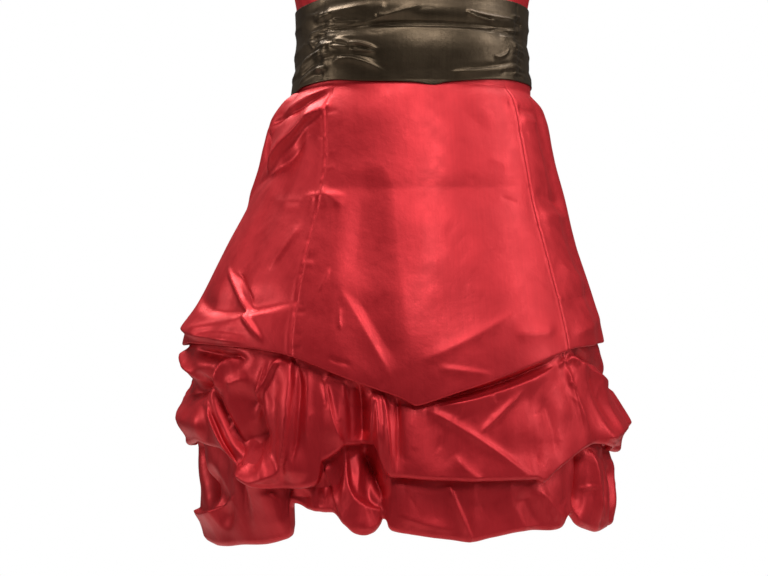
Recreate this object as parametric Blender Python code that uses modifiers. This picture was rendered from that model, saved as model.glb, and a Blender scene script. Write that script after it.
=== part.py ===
"""Flower girl dress: a sleeveless satin bodice, a gathered sash and a skirt in three layers.

The skirt has a gored overskirt with a pointed front edge, and under it two picked-up pouf tiers whose
edges fold under. The dress is shown filled out, as it hangs on the child who wears it. Metres, +Z up. The
origin is the middle of the shoulder line, the front faces -Y, and +X is the right side as seen from the front.

Every cloth panel is a wall between unlike sections. A point on a panel is found from its angle round the
body (0 at the centre front, 90 at +X, 180 at the centre back) and its height.
"""

import math

import bmesh
import bpy
import numpy as np

for leftover in list(bpy.data.objects):
    bpy.data.objects.remove(leftover, do_unlink=True)

dress = bpy.data.collections.new("flower_girl_dress")
bpy.context.scene.collection.children.link(dress)

# ---- Driving dimensions ----
WALL = 0.0012                # satin and its seam turnings, as one wall
SEAM_GAP = 0.0003            # between panels sewn edge to edge
LAYER_GAP = 0.0027           # between the middles of two walls that hang inside each other
JOIN_GAP = 0.0016            # the same where they are sewn together
SASH_LIFT = 0.0020           # from the middle of the bodice's wall to the middle of the sash's
UNDERARM = -0.125            # height of the bottom of the armhole
SHOULDER_WIDTH = 0.125       # half width of the body's form at the shoulder line
FRONT_NECK = -0.075          # height of the front neckline at the centre
BACK_NECK = -0.038
STRAP_INNER = 27.0           # angles of the shoulder strap's two edges
STRAP_OUTER = 46.0
SASH_TOP = -0.2070
SASH_BOTTOM = -0.2695
WAIST = -0.2700              # bottom of the bodice
SKIRT_TOP = WAIST - SEAM_GAP
SASH_SEAM = 54.0             # angle of the gathers at each end of the sash's front length
BACK_SEAM = 125.0            # angle of the seam between a side gore and a back gore
NORMAL_DEPTH = 0.85          # depth of the form over its width, for the direction out of it
SKIRT_RADIUS = 0.15          # of the skirt where its seams' gaps are measured
SASH_RADIUS = 0.095
ARC = 0.165 * math.pi / 180  # metres of cloth for a degree of angle, where the folds lie

# ---- The bodice's form ----
BODICE_FORM = (
    # height, half width, half depth
    (UNDERARM, 0.1080, 0.0880),
    (-0.1700, 0.1020, 0.0850),
    (-0.2070, 0.0958, 0.0800),
    (-0.2400, 0.0957, 0.0795),
    (WAIST, 0.0995, 0.0815),
)

# ---- The skirt's form ----
SKIRT_FORM = (
    # height, left, right, front, back
    (SKIRT_TOP, 0.0995, 0.0995, 0.0815, 0.0815),
    (-0.2800, 0.1075, 0.1085, 0.0865, 0.0875),
    (-0.2890, 0.1134, 0.1120, 0.0900, 0.0915),
    (-0.3140, 0.1205, 0.1175, 0.0975, 0.1000),
    (-0.3310, 0.1240, 0.1210, 0.1025, 0.1060),
    (-0.3560, 0.1340, 0.1270, 0.1100, 0.1160),
    (-0.3980, 0.1555, 0.1385, 0.1240, 0.1320),
    (-0.4400, 0.1765, 0.1520, 0.1380, 0.1470),
    (-0.4740, 0.1905, 0.1595, 0.1480, 0.1580),
    (-0.5000, 0.1890, 0.1610, 0.1520, 0.1620),
    (-0.5600, 0.1815, 0.1670, 0.1530, 0.1640),
    (-0.6000, 0.1745, 0.1660, 0.1520, 0.1630),
    (-0.6450, 0.1690, 0.1600, 0.1490, 0.1600),
)

# ---- The two front seams, which run down through every layer ----
FRONT_SEAMS = (
    # height, left angle, right angle
    (SKIRT_TOP, -43.5, 43.0),
    (-0.308, -39.0, 42.0),
    (-0.370, -36.0, 41.5),
    (-0.437, -34.0, 42.0),
    (-0.478, -32.5, 42.5),
    (-0.545, -32.0, 45.5),
    (-0.645, -31.0, 44.0),
)

# ---- The lower edges of the three layers, and how far each pouf stands out ----
OVERSKIRT_EDGE = (
    # angle, height
    (-180, -0.5090), (-150, -0.4960), (-125, -0.4800), (-90, -0.4780), (-54, -0.4740), (-32, -0.4800),
    (-22, -0.4870), (-12, -0.5015), (-3, -0.5135), (10, -0.5025), (22, -0.4935), (32, -0.4845),
    (42, -0.4770), (83, -0.4745), (125, -0.4780), (150, -0.4960),
)
UPPER_POUF = (
    # angle, height of the edge, how far out the pouf stands
    (-180, -0.5700, 0.004), (-160, -0.5660, 0.005), (-140, -0.5740, 0.007), (-126, -0.5520, 0.001),
    (-108, -0.5640, 0.007), (-90, -0.5600, 0.006), (-77, -0.5540, 0.005), (-63, -0.5540, 0.004),
    (-53, -0.5640, 0.004), (-44, -0.5755, 0.005), (-34, -0.5745, 0.006), (-29, -0.5715, 0.004),
    (-24, -0.5540, 0.001), (-20, -0.5440, 0.000), (-14, -0.5450, 0.000), (-10, -0.5630, 0.003),
    (0, -0.5662, 0.005), (12, -0.5665, 0.005), (25, -0.5710, 0.003), (35, -0.5590, 0.001),
    (48, -0.5430, 0.001), (62, -0.5480, 0.006), (85, -0.5520, 0.008), (104, -0.5640, 0.007),
    (126, -0.5500, 0.001), (142, -0.5700, 0.006), (162, -0.5640, 0.004),
)
LOWER_POUF = (
    # angle, height of the edge, how far out the pouf stands
    (-180, -0.6180, 0.003), (-158, -0.6140, 0.003), (-140, -0.6260, 0.004), (-124, -0.6080, -0.004),
    (-106, -0.6300, 0.003), (-90, -0.6340, 0.003), (-70, -0.6317, 0.003), (-46, -0.6215, 0.002),
    (-38, -0.6120, -0.001), (-33, -0.5930, -0.004), (-26, -0.5935, 0.000), (-17, -0.6065, 0.003),
    (-12, -0.5975, -0.002), (-8, -0.6050, 0.001), (8, -0.6116, 0.003), (20, -0.6090, 0.002),
    (36, -0.6095, 0.001), (41, -0.6010, -0.003), (46, -0.6120, 0.001), (58, -0.6190, 0.003),
    (80, -0.6230, 0.003), (104, -0.6240, 0.002), (124, -0.6060, -0.004), (140, -0.6240, 0.003),
    (160, -0.6130, 0.002),
)

# ---- The largest folds of each layer: ridges stand out, troughs (less than 0) lie in ----
FOLD_COLUMNS = ("start_angle", "start_height", "end_angle", "end_height", "rise", "half_width")
OVERSKIRT_FOLDS = (
    (-78, -0.272, -92, -0.345, 0.0040, 0.022),
    (-56, -0.300, -60, -0.470, -0.0030, 0.024),
    (-20, -0.360, -14, -0.470, -0.0025, 0.026),
    (62, -0.300, 66, -0.470, -0.0030, 0.026),
    (110, -0.300, 112, -0.470, 0.0040, 0.026),
    (-112, -0.300, -114, -0.470, 0.0040, 0.026),
    (148, -0.330, 152, -0.480, -0.0030, 0.026),
    (-150, -0.330, -152, -0.480, -0.0030, 0.026),
)
UPPER_POUF_FOLDS = (
    (-104, -0.487, -64, -0.484, 0.0060, 0.014),
    (-104, -0.508, -66, -0.507, -0.0080, 0.014),
    (-100, -0.537, -66, -0.535, 0.0060, 0.016),
    (-46, -0.515, -45, -0.548, -0.0070, 0.020),
    (-34, -0.490, -33, -0.560, 0.0050, 0.012),
    (-17, -0.515, -17, -0.545, -0.0050, 0.014),
    (-11, -0.508, -10, -0.560, 0.0040, 0.009),
    (55, -0.490, 60, -0.535, -0.0050, 0.016),
    (80, -0.500, 84, -0.545, 0.0040, 0.018),
    (140, -0.500, 142, -0.550, -0.0060, 0.020),
    (-142, -0.500, -141, -0.550, -0.0060, 0.020),
)
LOWER_POUF_FOLDS = (
    (-66, -0.580, -60, -0.600, -0.0060, 0.016),
    (-33, -0.580, -33, -0.600, -0.0050, 0.010),
    (-20, -0.575, -18, -0.595, 0.0030, 0.012),
    (24, -0.585, 30, -0.610, -0.0030, 0.012),
    (70, -0.580, 66, -0.610, -0.0040, 0.012),
    (142, -0.585, 140, -0.610, -0.0050, 0.016),
    (-140, -0.585, -141, -0.610, -0.0050, 0.016),
)
FOLD_ONSET = 3.0             # how many times sooner than its edge a pouf's folds reach full depth
POUF_FULLNESS = 0.9          # less than 1 swells a pouf sooner below its join
SHORTEST_POUF = 0.02         # the least height that a pouf shows
SWAG_CLEARANCE = (-5.0, -2.5, 0.0, 2.5, 5.0)  # degrees each way over which the layer above hangs clear
EDGE_LEVEL = -0.5            # height at which a column's angle picks its place in the edge tables
SASH_FOLDS = (
    # height, rise, half height of each lengthwise fold
    (-0.2150, 0.0016, 0.0090),
    (-0.2330, 0.0022, 0.0080),
    (-0.2470, 0.0012, 0.0060),
    (-0.2600, 0.0020, 0.0085),
)

GATHER_SPREAD = 5.0          # degrees from the sash's seam over which its folds flatten
GATHER_FLATTENING = 0.6      # share of a fold's rise lost at the seam

# ---- How each layer turns under at its edge ----
OVERSKIRT_TURN = {"radius": 0.0025, "under": 0.026}
UPPER_TURN = {"radius": 0.0045, "under": 0.034}
LOWER_TURN = {"radius": 0.0045, "under": 0.030}
TURN_BENDS = (0.30, 0.70)    # shares of the half turn at which the turned edge has a row

# ---- Where the columns of each panel's mesh stand ----
SEAM_STATIONS = (-180.0, -BACK_SEAM, -40.0, 40.0, BACK_SEAM, 180.0)
PANEL_NAMES = ("back_left", "side_left", "front", "side_right", "back_right")
PANEL_COLUMNS = (7, 12, 18, 11, 7)
BODICE_COLUMNS = 8
NECK_TURNS = (10, 28, 50, 70, 90)     # degrees round the scoop of the neckline, from the strap down
ARMHOLE_SHARES = (0.3, 0.55, 0.8, 1.0) # of the way from the neckline's depth to the underarm
CHEST_LEVELS = (-0.165, -0.204, -0.223, -0.245, WAIST)
OVERSKIRT_ROWS = 7
POUF_ROWS = 5
SASH_COLUMNS = (13, 11, 13)
SASH_LEVELS = (SASH_TOP, -0.2150, -0.2240, -0.2330, -0.2400, -0.2470, -0.2600, SASH_BOTTOM)

RED_SATIN = {"color": (0.52, 0.028, 0.040, 1.0), "roughness": 0.38, "metallic": 0.25}
BRONZE_SATIN = {"color": (0.050, 0.030, 0.016, 1.0), "roughness": 0.36, "metallic": 0.30}


# ---- Smooth curves through short tables ----
def smooth(stations, values, at, around=None):
    """A smooth curve through values at stations that rise; around closes it after that length."""
    stations = np.asarray(stations, float)
    values = np.asarray(values, float)
    at = np.asarray(at, float)
    if around:
        stations = np.concatenate((stations[-3:] - around, stations, stations[:3] + around))
        values = np.concatenate((values[-3:], values, values[:3]))
    slopes = np.gradient(values, stations)
    spot = np.clip(np.searchsorted(stations, at) - 1, 0, len(stations) - 2)
    span = stations[spot + 1] - stations[spot]
    t = np.clip((at - stations[spot]) / span, 0.0, 1.0)
    low = values[spot] * (2 * t**3 - 3 * t**2 + 1) + slopes[spot] * span * (t**3 - 2 * t**2 + t)
    high = values[spot + 1] * (3 * t**2 - 2 * t**3) + slopes[spot + 1] * span * (t**3 - t**2)
    return low + high


def column(table, number):
    return [row[number] for row in table]


def by_height(table, number, height):
    return smooth([-z for z in column(table, 0)], column(table, number), -np.asarray(height, float))


def round_body(table, number, angle):
    turned = (np.asarray(angle, float) + 180.0) % 360.0 - 180.0
    return smooth(column(table, 0), column(table, number), turned, around=360.0)


# ---- The form and the cloth on it ----
def outward(angle):
    """The level direction that points out of the form."""
    side = NORMAL_DEPTH * np.sin(np.radians(angle))
    depth = -np.cos(np.radians(angle))
    length = np.hypot(side, depth)
    return side / length, depth / length


def place(angle, height, half_left, half_right, front, back, out):
    sine = np.sin(np.radians(angle))
    cosine = np.cos(np.radians(angle))
    out_x, out_y = outward(angle)
    x = np.where(sine > 0, half_right, half_left) * sine + out * out_x
    y = -np.where(cosine > 0, front, back) * cosine + out * out_y
    return np.stack(np.broadcast_arrays(x, y, height), axis=-1)


def on_bodice(angle, height, out):
    half_width = by_height(BODICE_FORM, 1, height)
    half_depth = by_height(BODICE_FORM, 2, height)
    return place(angle, height, half_width, half_width, half_depth, half_depth, out)


def on_skirt(angle, height, out):
    sizes = [by_height(SKIRT_FORM, number, height) for number in (1, 2, 3, 4)]
    return place(angle, height, *sizes, out)


def folds_out(folds, angle, height):
    """How far the folds carry the cloth out of the form at an angle and height."""
    total = np.zeros(np.broadcast(angle, height).shape)
    for values in folds:
        fold = dict(zip(FOLD_COLUMNS, values))
        run = np.array((fold["end_angle"] - fold["start_angle"], fold["end_height"] - fold["start_height"]))
        run[0] *= ARC
        across = (angle - fold["start_angle"]) * ARC
        down = height - fold["start_height"]
        along = np.clip((across * run[0] + down * run[1]) / (run @ run), 0.0, 1.0)
        distance = np.hypot(across - along * run[0], down - along * run[1])
        near = np.clip(1.0 - (distance / fold["half_width"]) ** 2, 0.0, None)
        total = total + fold["rise"] * near**2
    return total


def seam_angle(station, height):
    """The true angle of a column, carried sideways with the two front seams."""
    left = by_height(FRONT_SEAMS, 1, height)
    right = by_height(FRONT_SEAMS, 2, height)
    station = np.asarray(station, float)
    lean_left = np.interp(station, (-BACK_SEAM, -40.0, 0.0), (0.0, 1.0, 0.0)) * (left + 40.0)
    lean_right = np.interp(station, (0.0, 40.0, BACK_SEAM), (0.0, 1.0, 0.0)) * (right - 40.0)
    return station + lean_left + lean_right


# ---- The three layers of the skirt: how far out each lies ----
def overskirt_out(angle, height):
    return folds_out(OVERSKIRT_FOLDS, angle, height)


def swell(share):
    """How full a pouf is, from 0 at the edge above it to 1 near its own edge."""
    return np.sin(np.clip(share, 0.0, 1.0) * math.pi / 2) ** POUF_FULLNESS


def clear_of(table, angle):
    """The height below which a layer is clear of the layer above it and of that layer's next swags."""
    return np.min([round_body(table, 1, angle + aside) for aside in SWAG_CLEARANCE], axis=0)


def pouf_out(angle, height, table, folds, above_table, above_out, above_turn):
    """A pouf starts inside the layer above it, where the two are sewn, and swells below that layer's edge."""
    above_low = round_body(above_table, 1, angle) + above_turn["radius"]
    near_join = np.clip((height - above_low) / above_turn["under"], 0.0, 1.0)
    inside = 2 * above_turn["radius"] + LAYER_GAP + (JOIN_GAP - LAYER_GAP) * near_join
    clear = clear_of(above_table, angle)
    edge = round_body(table, 1, angle)
    reach = round_body(table, 2, angle)
    start = above_out(angle, np.maximum(height, above_low)) - inside
    share = (clear - height) / np.maximum(clear - edge, SHORTEST_POUF)
    below = np.clip(share * FOLD_ONSET, 0.0, 1.0)
    return start + (reach - start) * swell(share) + below * folds_out(folds, angle, height)


def upper_pouf_out(angle, height):
    return pouf_out(angle, height, UPPER_POUF, UPPER_POUF_FOLDS, OVERSKIRT_EDGE, overskirt_out, OVERSKIRT_TURN)


def lower_pouf_out(angle, height):
    return pouf_out(angle, height, LOWER_POUF, LOWER_POUF_FOLDS, UPPER_POUF, upper_pouf_out, UPPER_TURN)


def layer_rows(station, hidden_heights, first, edge_table, turn, out, row_count):
    """The rows of one layer: down its outside, round its edge, and up inside to its join."""
    middle_angle = seam_angle(station, EDGE_LEVEL)
    edge = round_body(edge_table, 1, middle_angle)
    radius = turn["radius"]
    low = edge + radius
    heights = hidden_heights(middle_angle)
    heights += [first(middle_angle) * (1 - share) + low * share for share in np.linspace(0.0, 1.0, row_count)]
    rows = []
    for height in heights:
        angle = seam_angle(station, height)
        rows.append(on_skirt(angle, height, out(angle, height)))
    angle = seam_angle(station, low)
    edge_out = out(angle, low)
    for bend in TURN_BENDS:
        inward = radius * (1 - math.cos(bend * math.pi))
        height = low - radius * math.sin(bend * math.pi)
        rows.append(on_skirt(angle, height, edge_out - inward))
    for rise in (0.0, 1.0):
        height = low + rise * turn["under"]
        angle = seam_angle(station, height)
        rows.append(on_skirt(angle, height, out(angle, height) - 2 * radius))
    return np.array(rows)


# ---- Cloth walls ----
def finish_object(name, vertices, faces, look):
    mesh = bpy.data.meshes.new(name)
    mesh.from_pydata([tuple(point) for point in vertices], [], faces)
    mesh.validate()
    mesh.shade_smooth()
    material = bpy.data.materials.new(name)
    material.use_nodes = True
    shader = material.node_tree.nodes["Principled BSDF"]
    shader.inputs["Base Color"].default_value = look["color"]
    shader.inputs["Roughness"].default_value = look["roughness"]
    shader.inputs["Metallic"].default_value = look["metallic"]
    mesh.materials.append(material)
    dress_object = bpy.data.objects.new(name, mesh)
    dress.objects.link(dress_object)
    return dress_object


def normals_of(points):
    """Unit normals of a grid of points, out of the cloth: rows run down, columns run round."""
    down = np.gradient(points, axis=0)
    across = np.gradient(points, axis=1)
    normal = np.cross(down, across)
    return normal / np.linalg.norm(normal, axis=-1, keepdims=True)


def wall_panel(name, points, normals, look):
    """A closed wall of one thickness round a grid of middle points.

    Each cell is split along the diagonal that rises to the right, so walls that lie on each other bend alike.
    """
    row_count, column_count = points.shape[:2]
    outer = points + normals * WALL / 2
    inner = points - normals * WALL / 2
    vertices = np.concatenate((outer.reshape(-1, 3), inner.reshape(-1, 3)))
    behind = row_count * column_count

    def spot(row, number):
        return row * column_count + number

    faces = []
    for row in range(row_count - 1):
        for number in range(column_count - 1):
            a, b = spot(row, number), spot(row + 1, number)
            c, d = spot(row + 1, number + 1), spot(row, number + 1)
            goes_down = points[row, number, 2] > points[row + 1, number, 2]
            halves = ((a, b, d), (b, c, d)) if goes_down else ((a, b, c), (a, c, d))
            for half in halves:
                faces.append(half)
                faces.append(tuple(corner + behind for corner in reversed(half)))
    rim = [spot(0, number) for number in range(column_count)]
    rim += [spot(row, column_count - 1) for row in range(1, row_count)]
    rim += [spot(row_count - 1, number) for number in range(column_count - 2, -1, -1)]
    rim += [spot(row, 0) for row in range(row_count - 2, 0, -1)]
    for start, end in zip(rim, rim[1:] + rim[:1]):
        faces.append((start, end, end + behind, start + behind))
    return finish_object(name, vertices, faces, look)


def ring_stations(seams, counts, radius):
    """Columns right round the body, with the gap of a seam between one panel and the next."""
    half_gap = math.degrees(SEAM_GAP / 2 / radius)
    panels = []
    for start, end, count in zip(seams, seams[1:], counts):
        panels.append(np.linspace(start + half_gap, end - half_gap, count))
    return panels


def make_ring(panel_names, panels, rows_of, look):
    """Walls for all panels of a ring, with the same normals on both sides of each seam."""
    stations = np.concatenate(panels)
    points = rows_of(stations)
    wrapped = np.concatenate((points[:, -1:], points, points[:, :1]), axis=1)
    normals = normals_of(wrapped)[:, 1:-1]
    ends = np.cumsum([len(panel) for panel in panels])
    for end in ends:
        pair = (end - 1, end % len(stations))
        shared = normals[:, pair[0]] + normals[:, pair[1]]
        shared /= np.linalg.norm(shared, axis=-1, keepdims=True)
        normals[:, pair[0]] = shared
        normals[:, pair[1]] = shared
    for name, panel, end in zip(panel_names, panels, ends):
        cut = slice(end - len(panel), end)
        wall_panel(name, points[:, cut], normals[:, cut], look)


def make_skirt_layers():
    panels = ring_stations(SEAM_STATIONS, PANEL_COLUMNS, SKIRT_RADIUS)

    def nothing_hidden(angle):
        return []

    def skirt_top(angle):
        return np.full(np.shape(angle), SKIRT_TOP)

    def inside_of(above_table, turn):
        def heights(angle):
            low = round_body(above_table, 1, angle) + turn["radius"]
            return [low + turn["under"], low]
        return heights

    def below_of(above_table):
        return lambda angle: clear_of(above_table, angle)

    layers = (
        ("overskirt", nothing_hidden, skirt_top,
         OVERSKIRT_EDGE, OVERSKIRT_TURN, overskirt_out, OVERSKIRT_ROWS),
        ("upper_pouf", inside_of(OVERSKIRT_EDGE, OVERSKIRT_TURN), below_of(OVERSKIRT_EDGE),
         UPPER_POUF, UPPER_TURN, upper_pouf_out, POUF_ROWS),
        ("lower_pouf", inside_of(UPPER_POUF, UPPER_TURN), below_of(UPPER_POUF),
         LOWER_POUF, LOWER_TURN, lower_pouf_out, POUF_ROWS),
    )
    for layer, *shape in layers:
        names = [layer + "_" + panel for panel in PANEL_NAMES]
        make_ring(names, panels, lambda stations: layer_rows(stations, *shape), RED_SATIN)


# ---- Bodice ----
def shoulder_depth(height):
    """Share of the chest's depth at a height on the round from the shoulder line to the underarm."""
    return math.sqrt(1.0 - (1.0 - height / UNDERARM) ** 2)


def armhole_angle(height):
    return STRAP_OUTER + (90.0 - STRAP_OUTER) * (1.0 - math.sqrt(1.0 - min(height / UNDERARM, 1.0) ** 2))


def bodice_half(neck, centre_gap):
    """Grid of one half of the bodice, from the shoulder seam down to the waist, in front of the shoulder."""
    chest_width, chest_depth = BODICE_FORM[0][1:]
    side_gap = math.degrees(SEAM_GAP / 2 / chest_width)
    seam_height = UNDERARM * (SEAM_GAP / 2 / chest_depth) ** 2
    edge_rows = [(seam_height, STRAP_INNER)]
    for turn in NECK_TURNS:
        edge_rows.append((neck * math.sin(math.radians(turn)), STRAP_INNER * math.cos(math.radians(turn))))
    armhole_rise = math.degrees(math.asin(neck / UNDERARM))
    for share in ARMHOLE_SHARES:
        turn = armhole_rise + (90.0 - armhole_rise) * share
        edge_rows.append((UNDERARM * math.sin(math.radians(turn)), 0.0))
    rows = []
    for height, inner in edge_rows:
        half_width = SHOULDER_WIDTH + (chest_width - SHOULDER_WIDTH) * height / UNDERARM
        angles = np.linspace(max(inner, centre_gap), armhole_angle(height) - side_gap, BODICE_COLUMNS)
        depth = chest_depth * shoulder_depth(height)
        rows.append(place(angles, height, half_width, half_width, depth, depth, 0.0))
    for height in CHEST_LEVELS:
        angles = np.linspace(centre_gap, 90.0 - side_gap, BODICE_COLUMNS)
        rows.append(on_bodice(angles, height, 0.0))
    return np.array(rows)


def mirrored(points, axis):
    """The other half of a grid, with its columns turned round so that it still faces out."""
    flipped = points[:, ::-1].copy()
    flipped[..., axis] *= -1
    return flipped


def bodice_normals(half):
    """Normals that leave each seam square: up at the shoulder, level at the side, and in line at the centre."""
    normals = normals_of(half)
    normals[0] = (0.0, 0.0, 1.0)
    normals[:, -1, 1] = np.where(half[:, -1, 2] <= UNDERARM, 0.0, normals[:, -1, 1])
    at_centre = half[:, 0, 0] < SEAM_GAP
    normals[:, 0, 0] = np.where(at_centre, 0.0, normals[:, 0, 0])
    return normals / np.linalg.norm(normals, axis=-1, keepdims=True)


def make_bodice():
    centre_gap = math.degrees(SEAM_GAP / 2 / BODICE_FORM[-1][1])
    front = bodice_half(FRONT_NECK, 0.0)
    back = bodice_half(BACK_NECK, centre_gap)
    back_normals = bodice_normals(back)
    right, right_normals = mirrored(back, 1), mirrored(back_normals, 1)
    wall_panel("bodice_back_right", right, right_normals, RED_SATIN)
    wall_panel("bodice_back_left", mirrored(right, 0), mirrored(right_normals, 0), RED_SATIN)
    make_bodice_front(front, bodice_normals(front))


def make_bodice_front(half, normals):
    """Both halves of the front, joined below the neckline."""
    half_object = wall_panel("bodice_front", half, normals, RED_SATIN)
    mesh = half_object.data
    centre_faces = [face.index for face in mesh.polygons
                    if all(abs(mesh.vertices[corner].co.x) < 1e-6 for corner in face.vertices)]
    cloth = bmesh.new()
    cloth.from_mesh(mesh)
    cloth.faces.ensure_lookup_table()
    bmesh.ops.delete(cloth, geom=[cloth.faces[number] for number in centre_faces], context="FACES_ONLY")
    cloth.to_mesh(mesh)
    cloth.free()
    mirror = half_object.modifiers.new("other half", "MIRROR")
    mirror.use_axis[0] = True
    mirror.use_clip = True
    mirror.merge_threshold = 0.00005


# ---- Sash ----
def sash_out(angle, height):
    """The sash lies on the bodice, in lengthwise folds that flatten into the gathers at its seams."""
    out = np.full(np.broadcast(angle, height).shape, SASH_LIFT)
    gathered = np.exp(-((np.abs(angle) - SASH_SEAM) / GATHER_SPREAD) ** 2)
    for level, rise, half_height in SASH_FOLDS:
        near = np.clip(1.0 - ((height - level) / half_height) ** 2, 0.0, None)
        out = out + rise * near * (1.0 - GATHER_FLATTENING * gathered)
    return out


def make_sash():
    seams = (-180.0, -SASH_SEAM, SASH_SEAM, 180.0)
    panels = ring_stations(seams, SASH_COLUMNS, SASH_RADIUS)

    def rows_of(stations):
        rows = [on_bodice(stations, level, sash_out(stations, level)) for level in SASH_LEVELS]
        return np.array(rows)

    make_ring(("sash_back_left", "sash_front", "sash_back_right"), panels, rows_of, BRONZE_SATIN)


# ---- Build ----
make_bodice()
make_sash()
make_skirt_layers()
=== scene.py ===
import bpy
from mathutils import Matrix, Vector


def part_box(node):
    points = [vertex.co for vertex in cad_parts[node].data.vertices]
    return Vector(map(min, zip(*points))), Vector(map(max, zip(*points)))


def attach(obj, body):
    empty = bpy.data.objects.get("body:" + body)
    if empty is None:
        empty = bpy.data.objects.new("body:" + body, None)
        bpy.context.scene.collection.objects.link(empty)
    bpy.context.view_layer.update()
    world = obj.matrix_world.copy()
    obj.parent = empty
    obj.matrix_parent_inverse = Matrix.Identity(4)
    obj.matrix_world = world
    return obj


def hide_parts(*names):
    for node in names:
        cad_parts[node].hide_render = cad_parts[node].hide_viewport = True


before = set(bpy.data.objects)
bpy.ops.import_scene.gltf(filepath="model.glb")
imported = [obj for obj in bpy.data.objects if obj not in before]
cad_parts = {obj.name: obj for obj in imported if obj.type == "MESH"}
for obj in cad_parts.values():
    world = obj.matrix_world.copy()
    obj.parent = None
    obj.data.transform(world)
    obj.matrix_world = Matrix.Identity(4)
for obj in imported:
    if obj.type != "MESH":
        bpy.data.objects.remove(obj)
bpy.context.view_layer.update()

"""The looks of a flower girl dress: a satin bodice, a gathered sash and a skirt in three layers.

Every panel of cloth is one thin sheet on the form of its solid. The skirt's layers turn under at their edges.
A point on the cloth is found from its angle round the body (0 at the centre front, 90 at +X, 180 at the
centre back) and its height. Metres and degrees, but the tables of creases give their sizes in millimetres.
"""

import math

import bpy
import numpy as np
from mathutils import Vector

# ---- Driving dimensions, as in the solids ----
MM = 0.001
SEAM_GAP = 0.0003
LAYER_GAP = 0.0027           # between the middles of two layers that hang inside each other
JOIN_GAP = 0.0016            # the same where they are sewn together
UNDERARM = -0.125            # height of the bottom of the armhole
SHOULDER_WIDTH = 0.125       # half width of the body's form at the shoulder line
FRONT_NECK = -0.075          # height of the front neckline at the centre
BACK_NECK = -0.038
STRAP_INNER = 27.0           # angles of the shoulder strap's two edges
STRAP_OUTER = 46.0
SASH_TOP = -0.2070
WAIST = -0.2700              # bottom of the bodice
SKIRT_TOP = WAIST - SEAM_GAP
SASH_SEAM = 54.0             # angle of the gathers at each end of the sash's front length
BACK_SEAM = 125.0            # angle of the seam between a side gore and a back gore
FRONT_SEAM = 40.0            # station of each front seam, which FRONT_SEAMS carries to its true angle
NORMAL_DEPTH = 0.85          # depth of the form over its width, for the direction out of it
ARC = 0.165 * math.pi / 180  # metres of cloth for a degree of angle, where the largest folds lie

BODICE_FORM = (
    # height, half width, half depth
    (UNDERARM, 0.1080, 0.0880),
    (-0.1700, 0.1020, 0.0850),
    (-0.2070, 0.0958, 0.0800),
    (-0.2400, 0.0957, 0.0795),
    (WAIST, 0.0995, 0.0815),
)

SKIRT_FORM = (
    # height, left, right, front, back
    (SKIRT_TOP, 0.0995, 0.0995, 0.0815, 0.0815),
    (-0.2800, 0.1075, 0.1085, 0.0865, 0.0875),
    (-0.2890, 0.1134, 0.1120, 0.0900, 0.0915),
    (-0.3140, 0.1205, 0.1175, 0.0975, 0.1000),
    (-0.3310, 0.1240, 0.1210, 0.1025, 0.1060),
    (-0.3560, 0.1340, 0.1270, 0.1100, 0.1160),
    (-0.3980, 0.1555, 0.1385, 0.1240, 0.1320),
    (-0.4400, 0.1765, 0.1520, 0.1380, 0.1470),
    (-0.4740, 0.1905, 0.1595, 0.1480, 0.1580),
    (-0.5000, 0.1890, 0.1610, 0.1520, 0.1620),
    (-0.5600, 0.1815, 0.1670, 0.1530, 0.1640),
    (-0.6000, 0.1745, 0.1660, 0.1520, 0.1630),
    (-0.6450, 0.1690, 0.1600, 0.1490, 0.1600),
)

FRONT_SEAMS = (
    # height, left angle, right angle
    (SKIRT_TOP, -43.5, 43.0),
    (-0.308, -39.0, 42.0),
    (-0.370, -36.0, 41.5),
    (-0.437, -34.0, 42.0),
    (-0.478, -32.5, 42.5),
    (-0.545, -32.0, 45.5),
    (-0.645, -31.0, 44.0),
)

# ---- Edges of the sash and of the skirt's layers ----
SASH_TOP_EDGE = (
    # angle, height
    (-180, -0.2010), (-90, -0.2020), (-70, -0.2022), (-47, -0.2008), (-25, -0.2030), (0, -0.2060),
    (25, -0.2030), (47, -0.2006), (75, -0.2000), (100, -0.2000),
)
SASH_EDGE = (
    # angle, height
    (-180, -0.2690), (-78, -0.2715), (-66, -0.2680), (-46, -0.2665), (-28, -0.2690), (-4, -0.2710),
    (4, -0.2728), (10, -0.2704), (21, -0.2680), (47, -0.2640), (78, -0.2630), (125, -0.2670),
)
OVERSKIRT_EDGE = (
    # angle, height
    (-180, -0.5090), (-150, -0.4960), (-125, -0.4800), (-90, -0.4775), (-70, -0.4735), (-55, -0.4738),
    (-46, -0.4746), (-39.5, -0.4762), (-34, -0.4790), (-27, -0.4861), (-20.5, -0.4941), (-12.5, -0.5033),
    (-7.5, -0.5093), (-5.5, -0.5128), (-4.5, -0.5143), (-3.5, -0.5138), (-0.5, -0.5108), (4.5, -0.5060),
    (16, -0.4967), (24.5, -0.4896), (40.5, -0.4791), (49, -0.4757), (80, -0.4748), (125, -0.4780),
    (150, -0.4960),
)
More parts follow.
